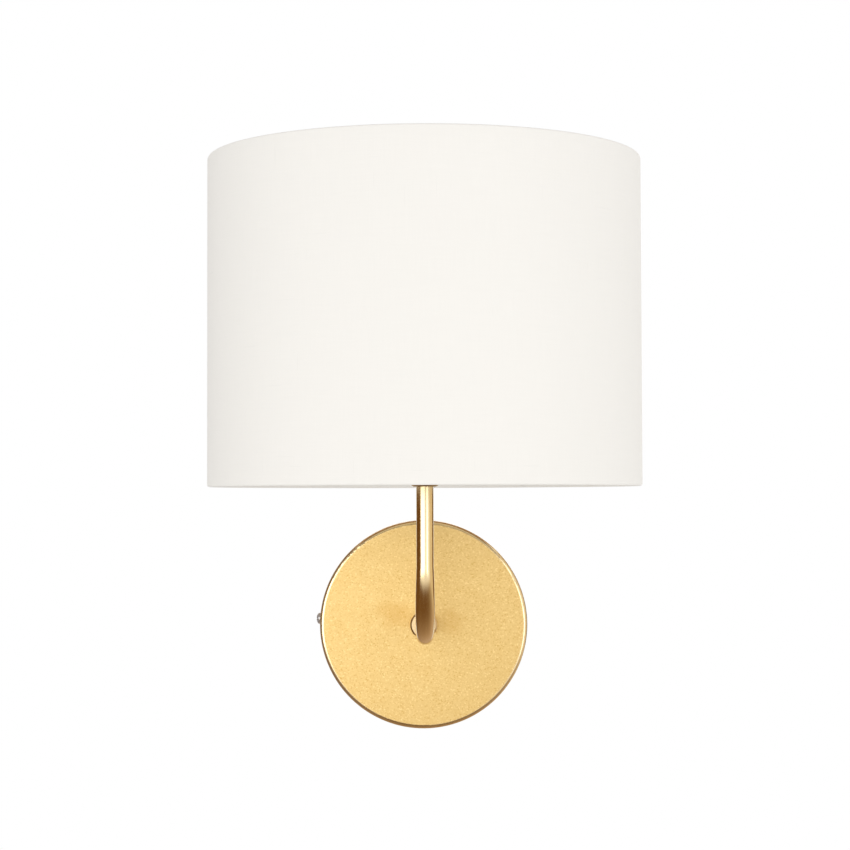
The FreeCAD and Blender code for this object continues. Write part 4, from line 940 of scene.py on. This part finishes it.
class Stage(bpy.types.Operator):
    """Set up the floor, the soft studio lamps, the cards, the white surroundings and the camera"""

    bl_idname = "wall_light.stage"
    bl_label = "Stage"

    def execute(self, context):
        sizes, scene = context.scene.wall_light_stage, context.scene
        scene.view_settings.view_transform = "Standard"
        self.floor(sizes, scene.wall_light_colours.floor)
        self.surroundings(scene, sizes)
        for name, start, end in (("left_lamp", -57, -2), ("right_lamp", 20, 39)):
            self.front_lamp(name, start, end, sizes)
        side_turn = Matrix.Rotation(math.pi / 2, 4, "Y")
        self.softbox("side_lamp", Vector((1.6, -0.45, 0.2)), side_turn, 1.0, 1.0, sizes.side_level)
        for name, start, end, tone in (
            ("left_card", -58, -150, DARK_CARD), ("right_card", 62, 112, WARM_CARD),
            ("far_right_card", 112, 150, DARK_CARD),
        ):
            ends = ((start, -CARD_TOP), (start, CARD_TOP), (end, CARD_TOP), (end, -CARD_TOP))
            self.card(name, [self.spot(azimuth, CARD_REACH, height) for azimuth, height in ends], tone)
        level = -sizes.floor_drop + 5 * MM
        low_corners = [(x, y, level) for x, y in ((-1.1, -0.95), (1.1, -0.95), (1.1, 0.6), (-1.1, 0.6))]
        self.card("low_card", low_corners, self.low_tone)
        for name, near, low, far, high, tone in (
            ("high_card", -1.45, 0.58, -0.35, 1.3, DARK_CARD),
            ("high_back_card", -0.35, 1.3, 1.2, 0.6, HIGH_CARD),
        ):
            self.card(name, [(-1, near, low), (1, near, low), (1, far, high), (-1, far, high)], tone)
        behind = Vector((0.2, 1.7, 0.7))
        self.softbox("back_lamp", behind, self.aimed(LAMP - behind), 1.6, 1.2, sizes.back_level)
        self.camera(scene, sizes)
        return {"FINISHED"}

    def floor(self, sizes, tone):
        shape = bmesh.new()
        bmesh.ops.create_circle(shape, cap_ends=True, radius=sizes.floor_radius, segments=96)
        mesh = bpy.data.meshes.new("studio_floor")
        shape.to_mesh(mesh)
        shape.free()
        mesh.transform(Matrix.Translation((0, LAMP.y, -sizes.floor_drop)))
        floor = placed("studio_floor", mesh)
        paper = Finish("studio_paper")
        body = paper.add("ShaderNodeBsdfDiffuse", None, {"Color": paper.tinted(tone, paper.noise(40), 0.01)})
        glow = paper.add("ShaderNodeEmission", None, {"Color": WHITE, "Strength": 1.0})
        both = paper.add("ShaderNodeMixShader", None, {0: self.seen(paper) * 0.7, 1: body, 2: glow})
        paper.add("ShaderNodeOutputMaterial", None, {"Surface": both})
        mesh.materials.append(paper.material)

    def seen(self, tree):
        """1 for what the camera sees, directly, in a mirror or through glass."""
        path = tree.add("ShaderNodeLightPath", None, None, "Is Camera Ray")
        return path.most(path.pick("Is Glossy Ray")).most(path.pick("Is Transmission Ray"))

    def surroundings(self, scene, sizes):
        scene.world = bpy.data.worlds.new("studio")
        scene.world.use_nodes = True
        tree = Tree(scene.world.node_tree)
        tree.tree.nodes.clear()
        strength = self.seen(tree) * (1 - sizes.fill_level) + sizes.fill_level
        back = tree.add("ShaderNodeBackground", None, {"Color": WHITE, "Strength": strength})
        tree.add("ShaderNodeOutputWorld", None, {"Surface": back})

    def spot(self, azimuth, reach, height):
        """A place round the arm. Its azimuth counts from straight ahead, in degrees to the right."""
        angle = math.radians(azimuth)
        return Vector((reach * math.sin(angle), LAMP.y - reach * math.cos(angle), height))

    def front_lamp(self, name, start, end, sizes):
        """A long softbox from one azimuth to the other, standing on the floor."""
        low, high = -sizes.floor_drop, sizes.lamp_top
        left, right = (self.spot(azimuth, sizes.lamp_reach, (low + high) / 2) for azimuth in (start, end))
        middle = (left + right) / 2
        turn = self.aimed(Vector((LAMP.x, LAMP.y, middle.z)) - middle)
        self.softbox(name, middle, turn, (right - left).length, high - low, sizes.lamp_level)

    def aimed(self, direction):
        """The turn of a lamp that shines along a direction."""
        return direction.to_track_quat("-Z", "Y").to_matrix().to_4x4()

    def softbox(self, name, place, turn, width, height, level):
        """An area lamp whose power follows from its level and its size."""
        light = bpy.data.lights.new(name, "AREA")
        light.shape, light.size, light.size_y = "RECTANGLE", width, height
        light.energy = level * math.pi * light.size * light.size_y
        placed(name, light, Matrix.Translation(place) @ turn)

    def low_tone(self, finish):
        """Painted reflection in the low card: dark under the arm, paler towards the wall, the right and the
        lamps.
        """
        x, y, _ = finish.parts(finish.object_place)
        tone = finish.mixed(DARK_CARD, WALL_REFLECTION_TONE, y.eased(-0.35, 0.3) * x.eased(-0.5, 0.1))
        tone = finish.mixed(tone, WARM_CARD, x.eased(0.0, 1.2))
        return finish.mixed(tone, FRONT_REFLECTION_TONE, y.eased(-0.95, -0.45, 1.0, 0.0))

    def card(self, name, corners, tone):
        """A glowing card that only shows in polished metal, as a painted reflection. Its tone is a colour, or
        makes one from the finish.
        """
        mesh = bpy.data.meshes.new(name)
        mesh.from_pydata(corners, [], [range(len(corners))])
        card = placed(name, mesh)
        card.visible_camera = card.visible_diffuse = card.visible_shadow = card.visible_transmission = False
        finish = Finish(name)
        shown = tone(finish) if callable(tone) else tone
        glow = finish.add("ShaderNodeEmission", None, {"Color": shown, "Strength": 1.0})
        finish.add("ShaderNodeOutputMaterial", None, {"Surface": glow})
        finish.material.cycles.emission_sampling = "NONE"
        mesh.materials.append(finish.material)

    def camera(self, scene, sizes):
        lens = bpy.data.cameras.new("camera")
        lens.sensor_width, lens.lens = 36.0, sizes.lens
        lens.clip_start, lens.clip_end = 0.05, 20.0
        turn = Matrix.Rotation(-sizes.yaw, 4, "Z") @ Matrix.Rotation(math.pi / 2 + sizes.pitch, 4, "X")
        turn = turn @ Matrix.Rotation(-sizes.roll, 4, "Z")
        scene.camera = placed("camera", lens, Matrix.Translation(sizes.camera) @ turn)


OPERATORS = (
    WallPlate, ArmTube, SideScrew, PlateFastenings, Wiring, Lampholder, Bulb, ShadeFrame, ShadeCover, Stage,
)


class WallLightPanel(bpy.types.Panel):
    """Lists what makes the wall light"""

    bl_idname = "VIEW3D_PT_wall_light"
    bl_label = "Wall light"
    bl_space_type = "VIEW_3D"
    bl_region_type = "UI"
    bl_category = "Wall light"

    def draw(self, context):
        for operator in OPERATORS:
            self.layout.operator(operator.bl_idname)
        for name, group in GROUPS.items():
            box = self.layout.box()
            box.label(text=group.__doc__)
            for size in group.__annotations__:
                box.prop(getattr(context.scene, name), size)


def register():
    for name, group in GROUPS.items():
        bpy.utils.register_class(group)
        setattr(bpy.types.Scene, name, bpy.props.PointerProperty(type=group))
    for operator in OPERATORS:
        bpy.utils.register_class(operator)
    bpy.utils.register_class(WallLightPanel)


def unregister():
    bpy.utils.unregister_class(WallLightPanel)
    for operator in reversed(OPERATORS):
        bpy.utils.unregister_class(operator)
    for name, group in GROUPS.items():
        delattr(bpy.types.Scene, name)
        bpy.utils.unregister_class(group)


def main():
    register()
    for operator in OPERATORS:
        group, name = operator.bl_idname.split(".")
        getattr(getattr(bpy.ops, group), name)()


if __name__ == "__main__":
    main()
